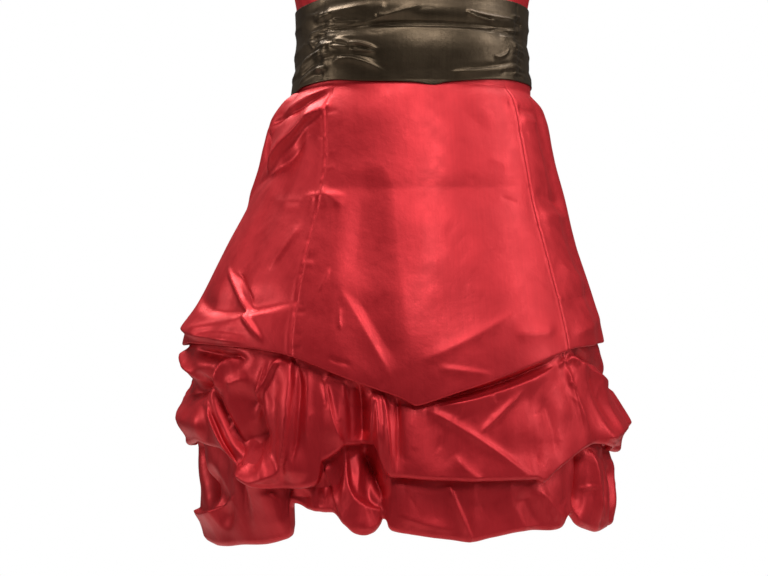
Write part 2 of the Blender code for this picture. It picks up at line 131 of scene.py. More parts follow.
UPPER_POUF = (
    # angle, height of the edge, how far out the pouf stands
    (-180, -0.5700, 0.004), (-160, -0.5660, 0.005), (-140, -0.5740, 0.007), (-126, -0.5520, 0.001),
    (-108, -0.5640, 0.007), (-90, -0.5600, 0.006), (-78, -0.5545, 0.005), (-68, -0.5495, 0.004),
    (-63, -0.5513, 0.004), (-58, -0.5519, 0.004), (-54.5, -0.5551, 0.004), (-51.5, -0.5626, 0.004),
    (-47.5, -0.5709, 0.005), (-43, -0.5752, 0.005), (-39.5, -0.5759, 0.006), (-34, -0.5755, 0.006),
    (-29.5, -0.5733, 0.005), (-28, -0.5710, 0.004), (-27, -0.5640, 0.003), (-26.5, -0.5556, 0.002),
    (-25, -0.5528, 0.001), (-22, -0.5464, 0.001), (-21, -0.5435, 0.000), (-18, -0.5432, 0.000),
    (-14.2, -0.5424, 0.000), (-13.3, -0.5465, 0.001), (-12.4, -0.5545, 0.003), (-11.5, -0.5610, 0.003),
    (-10.5, -0.5641, 0.003), (-8, -0.5650, 0.004), (3, -0.5672, 0.007), (12, -0.5682, 0.008),
    (24.5, -0.5697, 0.007), (26.5, -0.5727, 0.007), (31, -0.5656, 0.005), (38.5, -0.5568, 0.004),
    (44.5, -0.5512, 0.003), (49, -0.5500, 0.003), (58, -0.5545, 0.005), (73, -0.5640, 0.006),
    (90, -0.5650, 0.007), (104, -0.5640, 0.007), (126, -0.5500, 0.001), (142, -0.5700, 0.006),
    (162, -0.5640, 0.004),
)
LOWER_POUF = (
    # angle, height of the edge, how far out the pouf stands
    (-180, -0.6180, 0.003), (-158, -0.6140, 0.003), (-140, -0.6260, 0.004), (-124, -0.6080, -0.004),
    (-106, -0.6300, 0.003), (-90, -0.6340, 0.003), (-70, -0.6317, 0.003), (-64, -0.6296, 0.003),
    (-55, -0.6244, 0.002), (-47, -0.6211, 0.002), (-40.5, -0.6158, 0.001), (-37.9, -0.6120, 0.000),
    (-37.4, -0.6040, 0.000), (-37.2, -0.5950, 0.000), (-36.9, -0.5878, -0.001), (-35.6, -0.5885, -0.002),
    (-33.0, -0.5925, -0.002), (-28.5, -0.5930, -0.001), (-25.5, -0.5924, 0.000), (-23.5, -0.5954, 0.001),
    (-21.5, -0.5994, 0.002), (-19, -0.6045, 0.003), (-17, -0.6057, 0.003), (-15, -0.6042, 0.002),
    (-13.5, -0.5997, 0.000), (-12.8, -0.5958, -0.002), (-12, -0.5965, -0.001), (-11.5, -0.6015, 0.000),
    (-10.5, -0.6039, 0.001), (-6, -0.6062, 0.002), (3.5, -0.6103, 0.003), (9, -0.6125, 0.003),
    (14, -0.6104, 0.002), (23, -0.6079, 0.002), (34, -0.6104, 0.001), (37.2, -0.6092, 0.000),
    (38.4, -0.6045, -0.002), (39.6, -0.6010, -0.003), (40.8, -0.6020, -0.002), (43, -0.6100, 0.000),
    (48, -0.6154, 0.002), (54, -0.6197, 0.003), (62, -0.6205, 0.003), (80, -0.6230, 0.003),
    (104, -0.6240, 0.002), (124, -0.6060, -0.004), (140, -0.6240, 0.003), (160, -0.6130, 0.002),
)
# How each layer turns under at its edge: the radius of the turn, and how far the cloth runs back up inside.
OVERSKIRT_TURN = {"radius": 0.0016, "under": 0.026}
UPPER_TURN = {"radius": 0.0034, "under": 0.034}
LOWER_TURN = {"radius": 0.0038, "under": 0.030}

# ---- The largest folds, as in the solids ----
FOLD_COLUMNS = ("start_angle", "start_height", "end_angle", "end_height", "rise", "half_width")
OVERSKIRT_FOLDS = (
    (-78, -0.272, -92, -0.345, 0.0040, 0.022),
    (-56, -0.300, -60, -0.470, -0.0030, 0.024),
    (-20, -0.360, -14, -0.470, -0.0025, 0.026),
    (62, -0.300, 66, -0.470, -0.0030, 0.026),
    (110, -0.300, 112, -0.470, 0.0040, 0.026),
    (-112, -0.300, -114, -0.470, 0.0040, 0.026),
    (148, -0.330, 152, -0.480, -0.0030, 0.026),
    (-150, -0.330, -152, -0.480, -0.0030, 0.026),
)
UPPER_POUF_FOLDS = (
    (-104, -0.487, -64, -0.484, 0.0060, 0.014),
    (-104, -0.508, -66, -0.507, -0.0080, 0.014),
    (-100, -0.537, -66, -0.535, 0.0060, 0.016),
    (-46, -0.515, -45, -0.548, -0.0070, 0.020),
    (-34, -0.490, -33, -0.560, 0.0050, 0.012),
    (-17, -0.515, -17, -0.545, -0.0050, 0.014),
    (-11, -0.508, -10, -0.560, 0.0040, 0.009),
    (55, -0.490, 60, -0.535, -0.0050, 0.016),
    (80, -0.500, 84, -0.545, 0.0040, 0.018),
    (140, -0.500, 142, -0.550, -0.0060, 0.020),
    (-142, -0.500, -141, -0.550, -0.0060, 0.020),
)
LOWER_POUF_FOLDS = (
    (-66, -0.580, -60, -0.600, -0.0060, 0.016),
    (-33, -0.580, -33, -0.600, -0.0050, 0.010),
    (-20, -0.575, -18, -0.595, 0.0030, 0.012),
    (24, -0.585, 30, -0.610, -0.0030, 0.012),
    (70, -0.580, 66, -0.610, -0.0040, 0.012),
    (142, -0.585, 140, -0.610, -0.0050, 0.016),
    (-140, -0.585, -141, -0.610, -0.0050, 0.016),
)
SASH_PROFILE = (
    # height, out from the bodice at the front (mm), out at the sides and back (mm)
    (-0.2000, 1.6, 1.6),
    (-0.2060, 2.6, 1.9),
    (-0.2130, 4.6, 2.1),
    (-0.2180, 4.4, 2.0),
    (-0.2225, 3.0, 1.9),
    (-0.2265, 1.8, 1.8),
    (-0.2300, 4.3, 2.0),
    (-0.2340, 6.1, 2.2),
    (-0.2380, 6.9, 2.3),
    (-0.2440, 7.0, 2.2),
    (-0.2500, 6.2, 2.1),
    (-0.2560, 5.0, 2.0),
    (-0.2620, 3.5, 1.8),
    (-0.2680, 2.3, 1.6),
    (-0.2740, 1.3, 1.5),
)

# ---- Creases ----
# Each crease runs from its start through its middle to its end, (angle, height) each. Its rise is out of the
# cloth, or into it when less than 0. It falls away over one width on the right of a crease that runs down, or
# above one that runs to the right, and over the other width on the left or below. It leans over towards the
# first of these sides, as the lip of a fold does, or to the other when less than 0. Sizes in millimetres.
OVERSKIRT_CREASES = (
    # start, middle, end, rise, right or above, left or below, lean
    ((-72, -0.2920), (-56, -0.2800), (-40, -0.2680), 3.5, 5.0, 2.5, 0.0),
    ((-88, -0.2990), (-60, -0.2880), (-41, -0.2720), -4.0, 3.0, 3.5, 0.0),
    ((-80, -0.2980), (-80, -0.3180), (-72, -0.3400), -3.5, 4.0, 4.0, 0.0),
    ((-76, -0.3420), (-57, -0.3080), (-38, -0.2860), 8.0, 11.0, 2.6, 0.0),
    ((-88, -0.3480), (-64, -0.3340), (-46, -0.3090), -2.5, 4.0, 8.0, 0.0),
    ((-44, -0.3610), (-35, -0.3590), (-26, -0.3610), 1.8, 2.5, 6.0, 0.0),
    ((-38, -0.3500), (-33, -0.3600), (-26, -0.3690), 1.0, 3.0, 4.0, 0.0),
    ((-38, -0.3530), (2, -0.3560), (39, -0.3500), -1.2, 8.0, 20.0, 0.0),
    ((-22, -0.3560), (-20.5, -0.3945), (-20, -0.4300), -0.9, 14.0, 10.0, 0.0),
    ((-24, -0.4280), (-16, -0.4580), (-9, -0.4980), 1.0, 2.0, 7.0, 0.0),
    ((-19, -0.4350), (-13, -0.4600), (-7, -0.4900), -1.0, 9.0, 4.0, 0.0),
    ((-6, -0.4855), (10, -0.4650), (28, -0.4420), 1.2, 4.0, 5.0, 0.0),
    ((0, -0.4866), (7, -0.4888), (16, -0.4928), 1.0, 1.5, 4.0, 0.0),
    ((-24, -0.4800), (-21, -0.4832), (-18, -0.4850), -1.0, 1.3, 1.3, 0.0),
    ((-71, -0.4070), (-51, -0.4440), (-40, -0.4720), 4.2, 1.6, 3.5, 0.0),
    ((-64, -0.4160), (-54, -0.4300), (-49, -0.4440), -2.0, 2.5, 2.0, 0.0),
    ((-88, -0.4330), (-60, -0.4490), (-31, -0.4370), -6.2, 12.0, 2.4, 0.0),
    ((-76, -0.4620), (-58, -0.4560), (-34, -0.4400), 2.6, 3.0, 8.0, 0.0),
    ((-96, -0.4580), (-70, -0.4660), (-42, -0.4710), 6.0, 14.0, 3.0, 0.0),
    ((-72, -0.4680), (-58, -0.4630), (-44, -0.4660), -1.5, 3.0, 3.0, 0.0),
    ((-40, -0.3800), (-43, -0.3983), (-47, -0.4180), 1.5, 3.0, 4.0, 0.0),
    ((-27, -0.4140), (-27.5, -0.4240), (-29, -0.4340), 0.8, 1.5, 1.5, 0.0),
    ((-64, -0.3600), (-50, -0.3630), (-38, -0.3640), 1.5, 6.0, 4.0, 0.0),
    ((-22, -0.4440), (-22, -0.4520), (-21, -0.4610), 0.8, 1.5, 1.5, 0.0),
    ((4, -0.2740), (15, -0.2929), (27, -0.3130), -0.9, 8.0, 10.0, 0.0),
    ((23, -0.3300), (28, -0.3330), (33, -0.3360), 0.4, 5.0, 5.0, 0.0),
    ((26, -0.3600), (30, -0.3632), (34, -0.3650), -0.5, 1.8, 2.2, 0.0),
    ((43, -0.2865), (50, -0.2885), (60, -0.2890), -1.8, 2.5, 2.5, 0.0),
    ((43, -0.2950), (50, -0.2965), (60, -0.2960), 1.5, 3.0, 4.0, 0.0),
    ((43, -0.3550), (56, -0.3600), (74, -0.3620), -2.4, 7.0, 5.0, 0.0),
    ((42, -0.3710), (56, -0.3722), (73, -0.3715), 2.0, 3.0, 7.0, 0.0),
    ((21, -0.4620), (30, -0.4635), (39, -0.4600), 1.4, 5.0, 6.0, 0.0),
    ((-3, -0.3680), (-2, -0.3980), (-3, -0.4250), 0.5, 14.0, 12.0, 0.0),
    ((4, -0.3830), (9, -0.3920), (16, -0.3990), -0.5, 9.0, 9.0, 0.0),
    ((46, -0.4080), (57, -0.4200), (72, -0.4240), 1.6, 6.0, 8.0, 0.0),
    ((44, -0.4660), (60, -0.4590), (79, -0.4540), 2.0, 9.0, 5.0, 0.0),
    ((44, -0.4400), (58, -0.4380), (76, -0.4340), -1.5, 7.0, 5.0, 0.0),
)
UPPER_CREASES = (
    # start, middle, end, rise, right or above, left or below, lean
    ((-90, -0.4740), (-76, -0.4900), (-64, -0.5080), 6.0, 5.0, 7.0, 0.0),
    ((-80, -0.5160), (-66, -0.5080), (-56, -0.4920), -6.0, 5.0, 5.0, 0.0),
    ((-72, -0.4780), (-58, -0.4815), (-44, -0.4830), -7.0, 3.5, 5.0, 0.0),
    ((-47, -0.4850), (-54, -0.4890), (-55.5, -0.5130), 7.0, 7.0, 2.0, -2.0),
    ((-53.0, -0.5020), (-49.5, -0.5000), (-45.5, -0.4960), 2.5, 6.0, 6.0, 0.0),
    ((-60.0, -0.5040), (-54.2, -0.5320), (-46.0, -0.5600), -8.5, 7.0, 1.6, 0.0),
    ((-62.0, -0.5140), (-55.0, -0.5480), (-43.0, -0.5850), 5.5, 1.2, 5.0, 4.0),
    ((-50.5, -0.5400), (-44.5, -0.5400), (-37.5, -0.5330), -5.0, 7.0, 14.0, 0.0),
    ((-51.0, -0.5600), (-43.5, -0.5720), (-35.0, -0.5590), 13.0, 16.0, 4.0, 0.0),
    ((-44.0, -0.5060), (-43.2, -0.5260), (-42.6, -0.5480), -7.0, 5.0, 5.5, 0.0),
    ((-39.8, -0.4810), (-42.4, -0.5080), (-45.8, -0.5320), 4.0, 1.2, 3.4, 0.0),
    ((-35.0, -0.4750), (-39.8, -0.4970), (-44.6, -0.5240), 4.0, 1.2, 2.0, 0.0),
    ((-34.3, -0.4650), (-33.2, -0.5250), (-38.5, -0.5800), 5.0, 1.0, 12.0, 1.0),
    ((-32.0, -0.4800), (-31.2, -0.5200), (-33.0, -0.5640), -3.0, 2.4, 1.6, 0.0),
    ((-29.5, -0.4840), (-29.0, -0.5150), (-29.5, -0.5560), 1.8, 3.2, 3.2, 0.0),
    ((-25.5, -0.4900), (-23.2, -0.5230), (-20.4, -0.5450), 3.5, 1.6, 7.0, 1.2),
    ((-25.2, -0.5010), (-22.9, -0.4905), (-20.6, -0.4990), 4.0, 2.5, 3.5, 0.0),
    ((-25.8, -0.4950), (-25.2, -0.5060), (-24.4, -0.5180), -2.0, 1.2, 1.6, 0.0),
    ((-20.6, -0.4950), (-19.8, -0.5150), (-19.4, -0.5420), -3.0, 2.5, 1.2, 0.0),
    ((-17.3, -0.4930), (-17.3, -0.5200), (-17, -0.5450), -8.5, 5.0, 4.5, 0.0),
    ((-13.0, -0.5000), (-13.0, -0.5200), (-12.6, -0.5500), 5.0, 4.5, 4.0, 0.0),
    ((-13.8, -0.5000), (-14.3, -0.5190), (-15.0, -0.5410), 2.6, 1.1, 1.4, 0.0),
    ((-13.2, -0.4990), (-11.0, -0.5200), (-10.2, -0.5720), 4.0, 1.1, 1.6, 0.8),
    ((-8.8, -0.5040), (-8.6, -0.5300), (-8.6, -0.5670), -3.5, 3.0, 1.2, 0.0),
    ((-3, -0.5170), (8.5, -0.5340), (26, -0.5720), 2.4, 3.0, 4.5, 0.0),
    ((26, -0.5030), (17, -0.5210), (10.5, -0.5360), 2.1, 2.5, 3.0, 0.0),
    ((4, -0.5480), (7.5, -0.5600), (11.5, -0.5690), 1.8, 3.0, 7.0, 0.0),
    ((-3, -0.5160), (17, -0.5065), (42, -0.4850), 3.2, 1.0, 7.0, 1.2),
    ((-3, -0.5115), (17, -0.5010), (40, -0.4822), -6.0, 2.5, 2.2, 0.0),
    ((38.6, -0.4910), (41.3, -0.4838), (43.4, -0.4890), 3.0, 1.2, 3.5, 0.0),
    ((42.8, -0.4890), (45.5, -0.4820), (48.5, -0.4900), 3.4, 1.2, 3.5, 0.0),
    ((45, -0.4825), (60, -0.4975), (92, -0.5270), 4.0, 1.2, 9.0, 0.5),
    ((47, -0.4800), (62, -0.4905), (96, -0.5170), -7.0, 8.0, 1.5, 0.0),
    ((62, -0.5080), (92, -0.5150), (130, -0.5120), -6.0, 12.0, 9.0, 0.0),
    ((41.4, -0.4850), (44.4, -0.5080), (48.5, -0.5480), 3.2, 2.5, 6.0, 0.0),
    ((42.3, -0.4995), (43.6, -0.5035), (45.2, -0.5065), 1.3, 1.2, 1.3, 0.0),
    ((30, -0.5080), (33, -0.5320), (32, -0.5580), -2.0, 8.0, 9.0, 0.0),
    ((50, -0.5500), (74, -0.5425), (118, -0.5440), 8.0, 15.0, 6.0, 0.0),
    ((49, -0.5510), (61, -0.5560), (76, -0.5590), -5.0, 2.4, 5.0, 0.0),
)
LOWER_CREASES = (
    # start, middle, end, rise, right or above, left or below, lean
    ((-82, -0.5500), (-74, -0.5780), (-65, -0.5990), -14.0, 6.0, 7.0, 0.0),
    ((-96, -0.6120), (-70, -0.6075), (-54, -0.5840), 6.5, 1.4, 8.0, 2.0),
    ((-41.0, -0.5700), (-39.3, -0.5900), (-38.4, -0.6120), 3.0, 1.6, 8.0, 0.0),
    ((-37.2, -0.5600), (-36.8, -0.5730), (-36.4, -0.5850), -4.0, 2.5, 1.5, 0.0),
    ((-29.3, -0.5600), (-29, -0.5780), (-29, -0.5960), -3.0, 5.0, 5.0, 0.0),
    ((-27.3, -0.5530), (-24.8, -0.5720), (-21, -0.5980), 3.5, 6.0, 1.8, -1.0),
    ((-25.0, -0.5900), (-19.0, -0.6010), (-12.5, -0.5970), 6.0, 13.0, 3.0, 0.0),
    ((-21.0, -0.5480), (-19.0, -0.5780), (-11, -0.5900), 5.5, 1.4, 7.0, 1.5),
    ((-18.4, -0.5470), (-15.0, -0.5660), (-12, -0.5830), -7.0, 4.0, 2.5, 0.0),
    ((3.2, -0.5680), (5.8, -0.5890), (9.8, -0.6160), 2.6, 1.0, 4.5, 0.0),
    ((-10, -0.5900), (-2, -0.5985), (6, -0.6030), 1.5, 5.0, 4.0, 0.0),
    ((27, -0.5760), (33, -0.5900), (38, -0.6070), 2.4, 5.0, 6.0, 0.0),
    ((47.5, -0.5480), (45.5, -0.5750), (42.5, -0.6040), -11.0, 4.5, 4.0, 0.0),
    ((52.0, -0.5500), (52.6, -0.5800), (53.6, -0.6220), 5.0, 2.6, 6.0, 0.0),
    ((46.0, -0.5850), (49.0, -0.5825), (53, -0.5835), 1.0, 1.0, 1.6, 0.0),
    ((57, -0.5560), (60, -0.5800), (58, -0.6100), -3.0, 4.0, 3.0, 0.0),
    ((74, -0.5620), (72, -0.5900), (66, -0.6190), 3.0, 6.0, 6.0, 0.0),
)
SASH_CREASES = (
    # start, middle, end, rise, right or above, left or below, lean
    ((-70, -0.2105), (-44, -0.2134), (-22, -0.2085), 1.8, 2.4, 3.5, 0.0),
    ((-46, -0.2172), (-38, -0.2219), (-25, -0.2238), 1.3, 1.4, 1.8, 0.0),
    ((-30, -0.2244), (-15, -0.2190), (0, -0.2100), 2.0, 2.4, 4.5, 0.0),
    ((-22, -0.2210), (-20, -0.2160), (-18, -0.2090), 1.2, 1.6, 2.0, 0.0),
    ((-36, -0.2252), (6, -0.2266), (60, -0.2215), -2.4, 2.6, 0.9, 0.0),
    ((-24, -0.2277), (10, -0.2288), (48, -0.2262), 1.2, 0.9, 4.0, 0.6),
    ((-68, -0.2276), (-46, -0.2249), (-22, -0.2258), 1.6, 1.5, 2.6, 0.0),
    ((-64, -0.2290), (-61, -0.2345), (-57, -0.2400), 1.4, 3.0, 2.2, 0.0),
    ((-55, -0.2335), (-50, -0.2375), (-45, -0.2395), 1.2, 2.2, 2.2, 0.0),
    ((-44, -0.2362), (-37, -0.2372), (-33, -0.2430), 1.5, 1.1, 1.3, 0.0),
    ((-46, -0.2394), (-40, -0.2414), (-34, -0.2428), 1.3, 1.0, 1.3, 0.0),
    ((-36, -0.2396), (-28, -0.2410), (-19.5, -0.2470), 2.0, 1.1, 1.6, 0.0),
    ((-35, -0.2446), (-28, -0.2463), (-20.5, -0.2480), 1.6, 0.9, 1.4, 0.0),
    ((-33, -0.2422), (-28, -0.2438), (-23, -0.2468), -1.0, 0.9, 0.9, 0.0),
    ((-74, -0.2560), (-62, -0.2452), (-44, -0.2444), 1.8, 1.4, 2.4, 0.0),
    ((-73, -0.2670), (-59, -0.2581), (-43, -0.2550), 1.8, 1.4, 2.6, 0.0),
    ((-70, -0.2610), (-60, -0.2535), (-48, -0.2500), -1.4, 1.6, 1.8, 0.0),
    ((-45, -0.2555), (-33, -0.2515), (-16, -0.2645), 2.0, 1.3, 4.0, 0.0),
    ((-44, -0.2470), (-30, -0.2490), (-18, -0.2560), -1.6, 3.0, 2.0, 0.0),
    ((16, -0.2600), (32, -0.2570), (52, -0.2505), -1.4, 3.0, 2.0, 0.0),
    ((19, -0.2128), (31, -0.2166), (56, -0.2148), 2.2, 1.2, 1.2, 0.0),
    ((19, -0.2144), (26, -0.2188), (39, -0.2194), 1.8, 1.1, 1.4, 0.0),
    ((22, -0.2152), (28, -0.2174), (36, -0.2184), -1.4, 0.8, 0.8, 0.0),
    ((32, -0.2272), (42, -0.2250), (58, -0.2246), 1.6, 1.3, 2.2, 0.0),
    ((32.8, -0.2476), (38.5, -0.2470), (44.8, -0.2385), 1.1, 1.0, 1.6, 0.0),
    ((37.0, -0.2330), (46, -0.2300), (57, -0.2316), 1.3, 1.3, 2.4, 0.0),
    ((10, -0.2630), (30, -0.2584), (54, -0.2496), 1.9, 1.1, 3.5, 0.0),
    ((37, -0.2605), (44, -0.2582), (51, -0.2575), -1.2, 1.3, 1.3, 0.0),
)


# ---- Smooth curves through short tables ----
def smooth(stations, values, at, around=None):
    """A smooth curve through values at stations that rise. With around, it closes and never overshoots."""
    stations = np.asarray(stations, float)
    values = np.asarray(values, float)
    at = np.asarray(at, float)
    if around:
        stations = np.concatenate((stations[-3:] - around, stations, stations[:3] + around))
        values = np.concatenate((values[-3:], values, values[:3]))
    slopes = np.gradient(values, stations)
    if around:
        step = np.diff(values) / np.diff(stations)
        product = np.clip(step[:-1] * step[1:], 0.0, None)
        slopes[1:-1] = 2 * product / np.where(product > 0, step[:-1] + step[1:], 1.0)
    spot = np.clip(np.searchsorted(stations, at) - 1, 0, len(stations) - 2)
    span = stations[spot + 1] - stations[spot]
    t = np.clip((at - stations[spot]) / span, 0.0, 1.0)
    low = values[spot] * (2 * t**3 - 3 * t**2 + 1) + slopes[spot] * span * (t**3 - 2 * t**2 + t)
    high = values[spot + 1] * (3 * t**2 - 2 * t**3) + slopes[spot + 1] * span * (t**3 - t**2)
    return low + high


def column(table, number):
    return [row[number] for row in table]


def by_height(table, number, height):
    return smooth([-z for z in column(table, 0)], column(table, number), -np.asarray(height, float))


def round_body(table, number, angle):
    turned = (np.asarray(angle, float) + 180.0) % 360.0 - 180.0
    return smooth(column(table, 0), column(table, number), turned, around=360.0)


def ease(share):
    """From 0 to 1 with a soft start and end."""
    share = np.clip(share, 0.0, 1.0)
    return share * share * (3.0 - 2.0 * share)


# ---- The form and the cloth on it ----
def outward(angle):
    """The level direction that points out of the form."""
    side = NORMAL_DEPTH * np.sin(np.radians(angle))
    depth = -np.cos(np.radians(angle))
    length = np.hypot(side, depth)
    return side / length, depth / length


def place(angle, height, half_left, half_right, front, back, out):
    sine = np.sin(np.radians(angle))
    cosine = np.cos(np.radians(angle))
    out_x, out_y = outward(angle)
    x = np.where(sine > 0, half_right, half_left) * sine + out * out_x
    y = -np.where(cosine > 0, front, back) * cosine + out * out_y
    return np.stack(np.broadcast_arrays(x, y, height), axis=-1)


def on_bodice(angle, height, out):
    half_width = by_height(BODICE_FORM, 1, height)
    half_depth = by_height(BODICE_FORM, 2, height)
    return place(angle, height, half_width, half_width, half_depth, half_depth, out)


def on_skirt(angle, height, out):
    sizes = [by_height(SKIRT_FORM, number, height) for number in (1, 2, 3, 4)]
    return place(angle, height, *sizes, out)


def girth_of(height):
    """Metres of cloth for one radian of angle, at the front of the dress."""
    above_waist = np.asarray(height) > WAIST
    skirt = (by_height(SKIRT_FORM, 1, height) + by_height(SKIRT_FORM, 2, height)) / 2
    return np.where(above_waist, by_height(BODICE_FORM, 1, height), skirt)


def folds_out(folds, angle, height):
    """How far the largest folds carry the cloth out of the form at an angle and height."""
    total = np.zeros(np.broadcast(angle, height).shape)
    for values in folds:
        fold = dict(zip(FOLD_COLUMNS, values))
        run = np.array((fold["end_angle"] - fold["start_angle"], fold["end_height"] - fold["start_height"]))
        run[0] *= ARC
        across = (angle - fold["start_angle"]) * ARC
        down = height - fold["start_height"]
        along = np.clip((across * run[0] + down * run[1]) / (run @ run), 0.0, 1.0)
        distance = np.hypot(across - along * run[0], down - along * run[1])
        near = np.clip(1.0 - (distance / fold["half_width"]) ** 2, 0.0, None)
        total = total + fold["rise"] * near**2
    return total


CREASE_STEPS = 12
CREASE_FADE = 0.28           # share of a crease's length over which it dies away at each end
CREASE_REACH = 3.2           # widths from the crease to where it is flat
CREST = 1.5                  # 2 for a round crest, 1 for a knife edge
BOW = 0.25                   # how far a small crease bows at most, as a share of its length
WAVE_COUNT = 22
WAVE_DEPTH = 0.0005


def crease_curve(start, middle, end):
    """Points along a crease, as metres of cloth across and height."""
    start, middle, end = (np.array(point, float) for point in (start, middle, end))
    bend = 2 * middle - (start + end) / 2
    t = np.linspace(0.0, 1.0, CREASE_STEPS)[:, None]
    curve = (1 - t) ** 2 * start + 2 * t * (1 - t) * bend + t**2 * end
    curve[:, 0] = np.radians(curve[:, 0]) * girth_of(curve[:, 1])
    return curve


def creases_shift(creases, angle, height):
    """How far a table of creases moves the cloth: out, across and up, in metres."""
    angle, height = np.broadcast_arrays(np.asarray(angle, float), np.asarray(height, float))
    across = np.radians(angle) * girth_of(height)
    total = np.zeros(angle.shape + (3,))
    for start, middle, end, rise, first, second, lean in creases:
        curve = crease_curve(start, middle, end)
        reach = CREASE_REACH * max(first, second) * MM
        low, high = curve.min(axis=0) - reach, curve.max(axis=0) + reach
        near = (across > low[0]) & (across < high[0]) & (height > low[1]) & (height < high[1])
        if not near.any():
            continue
        here = np.stack((across[near], height[near]), axis=-1)
        best = np.full(len(here), np.inf)
        side = np.zeros(len(here))
        along = np.zeros(len(here))
        square = np.zeros((len(here), 2))
        for number, (head, tail) in enumerate(zip(curve, curve[1:])):
            run = tail - head
            share = np.clip(((here - head) @ run) / (run @ run), 0.0, 1.0)
            away = here - head - share[:, None] * run
            distance = np.hypot(away[:, 0], away[:, 1])
            closer = distance < best
            best = np.where(closer, distance, best)
            side = np.where(closer, away[:, 1] * run[0] - away[:, 0] * run[1], side)
            along = np.where(closer, (number + share) / (CREASE_STEPS - 1), along)
            square[closer] = np.array((-run[1], run[0])) / np.hypot(*run)
        width = np.where(side > 0, first, second) * MM
        fade = ease(along / CREASE_FADE) * ease((1.0 - along) / CREASE_FADE)
        shape = fade * np.exp(-((best / width) ** CREST)) * MM
        total[near, 0] += rise * shape
        total[near, 1:] += lean * shape[:, None] * square
    return total


def scattered(seed, count, angles, heights, slants, lengths, rises, widths):
    """Small creases spread by chance over a stretch of cloth. Slants are degrees from level, the rest mm."""
    chance = np.random.default_rng(seed)
    creases = []
    for _ in range(count):
        angle, height = chance.uniform(*angles), chance.uniform(*sorted(heights))
        slant = math.radians(chance.uniform(*slants))
        length = chance.uniform(*lengths) * MM
        rise = chance.uniform(*rises) * chance.choice((-1.0, 1.0))
        first, second = chance.uniform(*widths), chance.uniform(*widths)
        bow = chance.uniform(-BOW, BOW) * length
        radius = float(girth_of(height))
        across, down = length / 2 * math.cos(slant), length / 2 * math.sin(slant)

        def spot(share, aside):
            return (angle + math.degrees((share * across - aside * math.sin(slant)) / radius),
                    height + share * down + aside * math.cos(slant))

        creases.append((spot(-1, 0.0), spot(0, bow), spot(1, 0.0), rise, first, second, 0.0))
    return tuple(creases)


def soft_waves(seed, angle, height, longest, shortest):
    """Gentle unevenness of cloth: many long shallow waves that run every way."""
    chance = np.random.default_rng(seed)
    across = np.radians(angle) * girth_of(height)
    total = np.zeros(np.broadcast(across, height).shape)
    for _ in range(WAVE_COUNT):
        length = chance.uniform(shortest, longest)
        heading = chance.uniform(0.0, math.pi)
        phase = chance.uniform(0.0, 2 * math.pi)
        turn = 2 * math.pi / length
        way = across * math.cos(heading) + height * math.sin(heading)
        total += np.sin(turn * way + phase) * length / longest
    return total * WAVE_DEPTH / math.sqrt(WAVE_COUNT / 2)


# ---- Seams ----
SEAM_STATIONS = (-180.0, -BACK_SEAM, -FRONT_SEAM, FRONT_SEAM, BACK_SEAM, 180.0)
SEAM_RIDGES = (
    # station, rise on the left, rise on the right, groove, distance of the ridges from the seam (mm)
    (-180.0, 0.3, 0.3, 0.3, 2.4),
    (-BACK_SEAM, 0.3, 0.3, 0.3, 2.4),
    (-FRONT_SEAM, 0.45, 0.15, 0.25, 2.6),
    (FRONT_SEAM, 0.3, 0.1, 0.3, 2.2),
    (BACK_SEAM, 0.3, 0.3, 0.3, 2.4),
    (180.0, 0.3, 0.3, 0.3, 2.4),
)
GROOVE_WIDTH = 1.0           # mm
RIDGE_WIDTH = 0.7            # share of a ridge's distance from its seam
PUCKER_TAIL = 0.35           # share of a pucker that runs past its seam to the other side


def seam_angle(station, height):
    """The true angle of a column, carried sideways with the two front seams."""
    left = by_height(FRONT_SEAMS, 1, height)
    right = by_height(FRONT_SEAMS, 2, height)
    station = np.asarray(station, float)
    lean_left = np.interp(station, (-BACK_SEAM, -FRONT_SEAM, 0.0), (0.0, 1.0, 0.0)) * (left + FRONT_SEAM)
    lean_right = np.interp(station, (0.0, FRONT_SEAM, BACK_SEAM), (0.0, 1.0, 0.0)) * (right - FRONT_SEAM)
    return station + lean_left + lean_right


def seams_out(station, height):
    """A fine groove at each seam with a soft ridge on each side of it."""
    radius = girth_of(height)
    total = np.zeros(np.broadcast(station, height).shape)
    for seam, left, right, groove, distance in SEAM_RIDGES:
        away = np.radians(station - seam) * radius / MM
        near_ridge = np.exp(-(((np.abs(away) - distance) / (RIDGE_WIDTH * distance)) ** 2))
        ridge = np.where(away < 0, left, right) * near_ridge
        total = total + MM * (ridge - groove * np.exp(-((away / GROOVE_WIDTH) ** 2)))
    return total


def puckers(seed, seam_at, heights, spacing, lengths, rises, widths):
    """Short creases square to a seam, on one side or the other, where its thread draws the cloth up."""
    chance = np.random.default_rng(seed)
    creases = []
    height = heights[0]
    while height > heights[1]:
        height -= chance.uniform(*spacing) * MM
        angle = float(seam_angle(seam_at, height))
        reach = chance.uniform(*lengths) * chance.choice((-1.0, 1.0))
        far = angle + math.degrees(reach * MM / float(girth_of(height)))
        drop = chance.uniform(-BOW, BOW) * abs(reach) * MM
        rise = chance.uniform(*rises) * chance.choice((-1.0, 1.0))
        first, second = chance.uniform(*widths), chance.uniform(*widths)
        near = angle - (far - angle) * PUCKER_TAIL
        creases.append(((near, height), ((near + far) / 2, height + drop / 3), (far, height + drop),
                        rise, first, second, 0.0))
    return tuple(creases)


# ---- How far out each layer lies ----
BEHIND = (92, 268)           # angles from one side through the back to the other
IN_FRONT = (-100, 100)
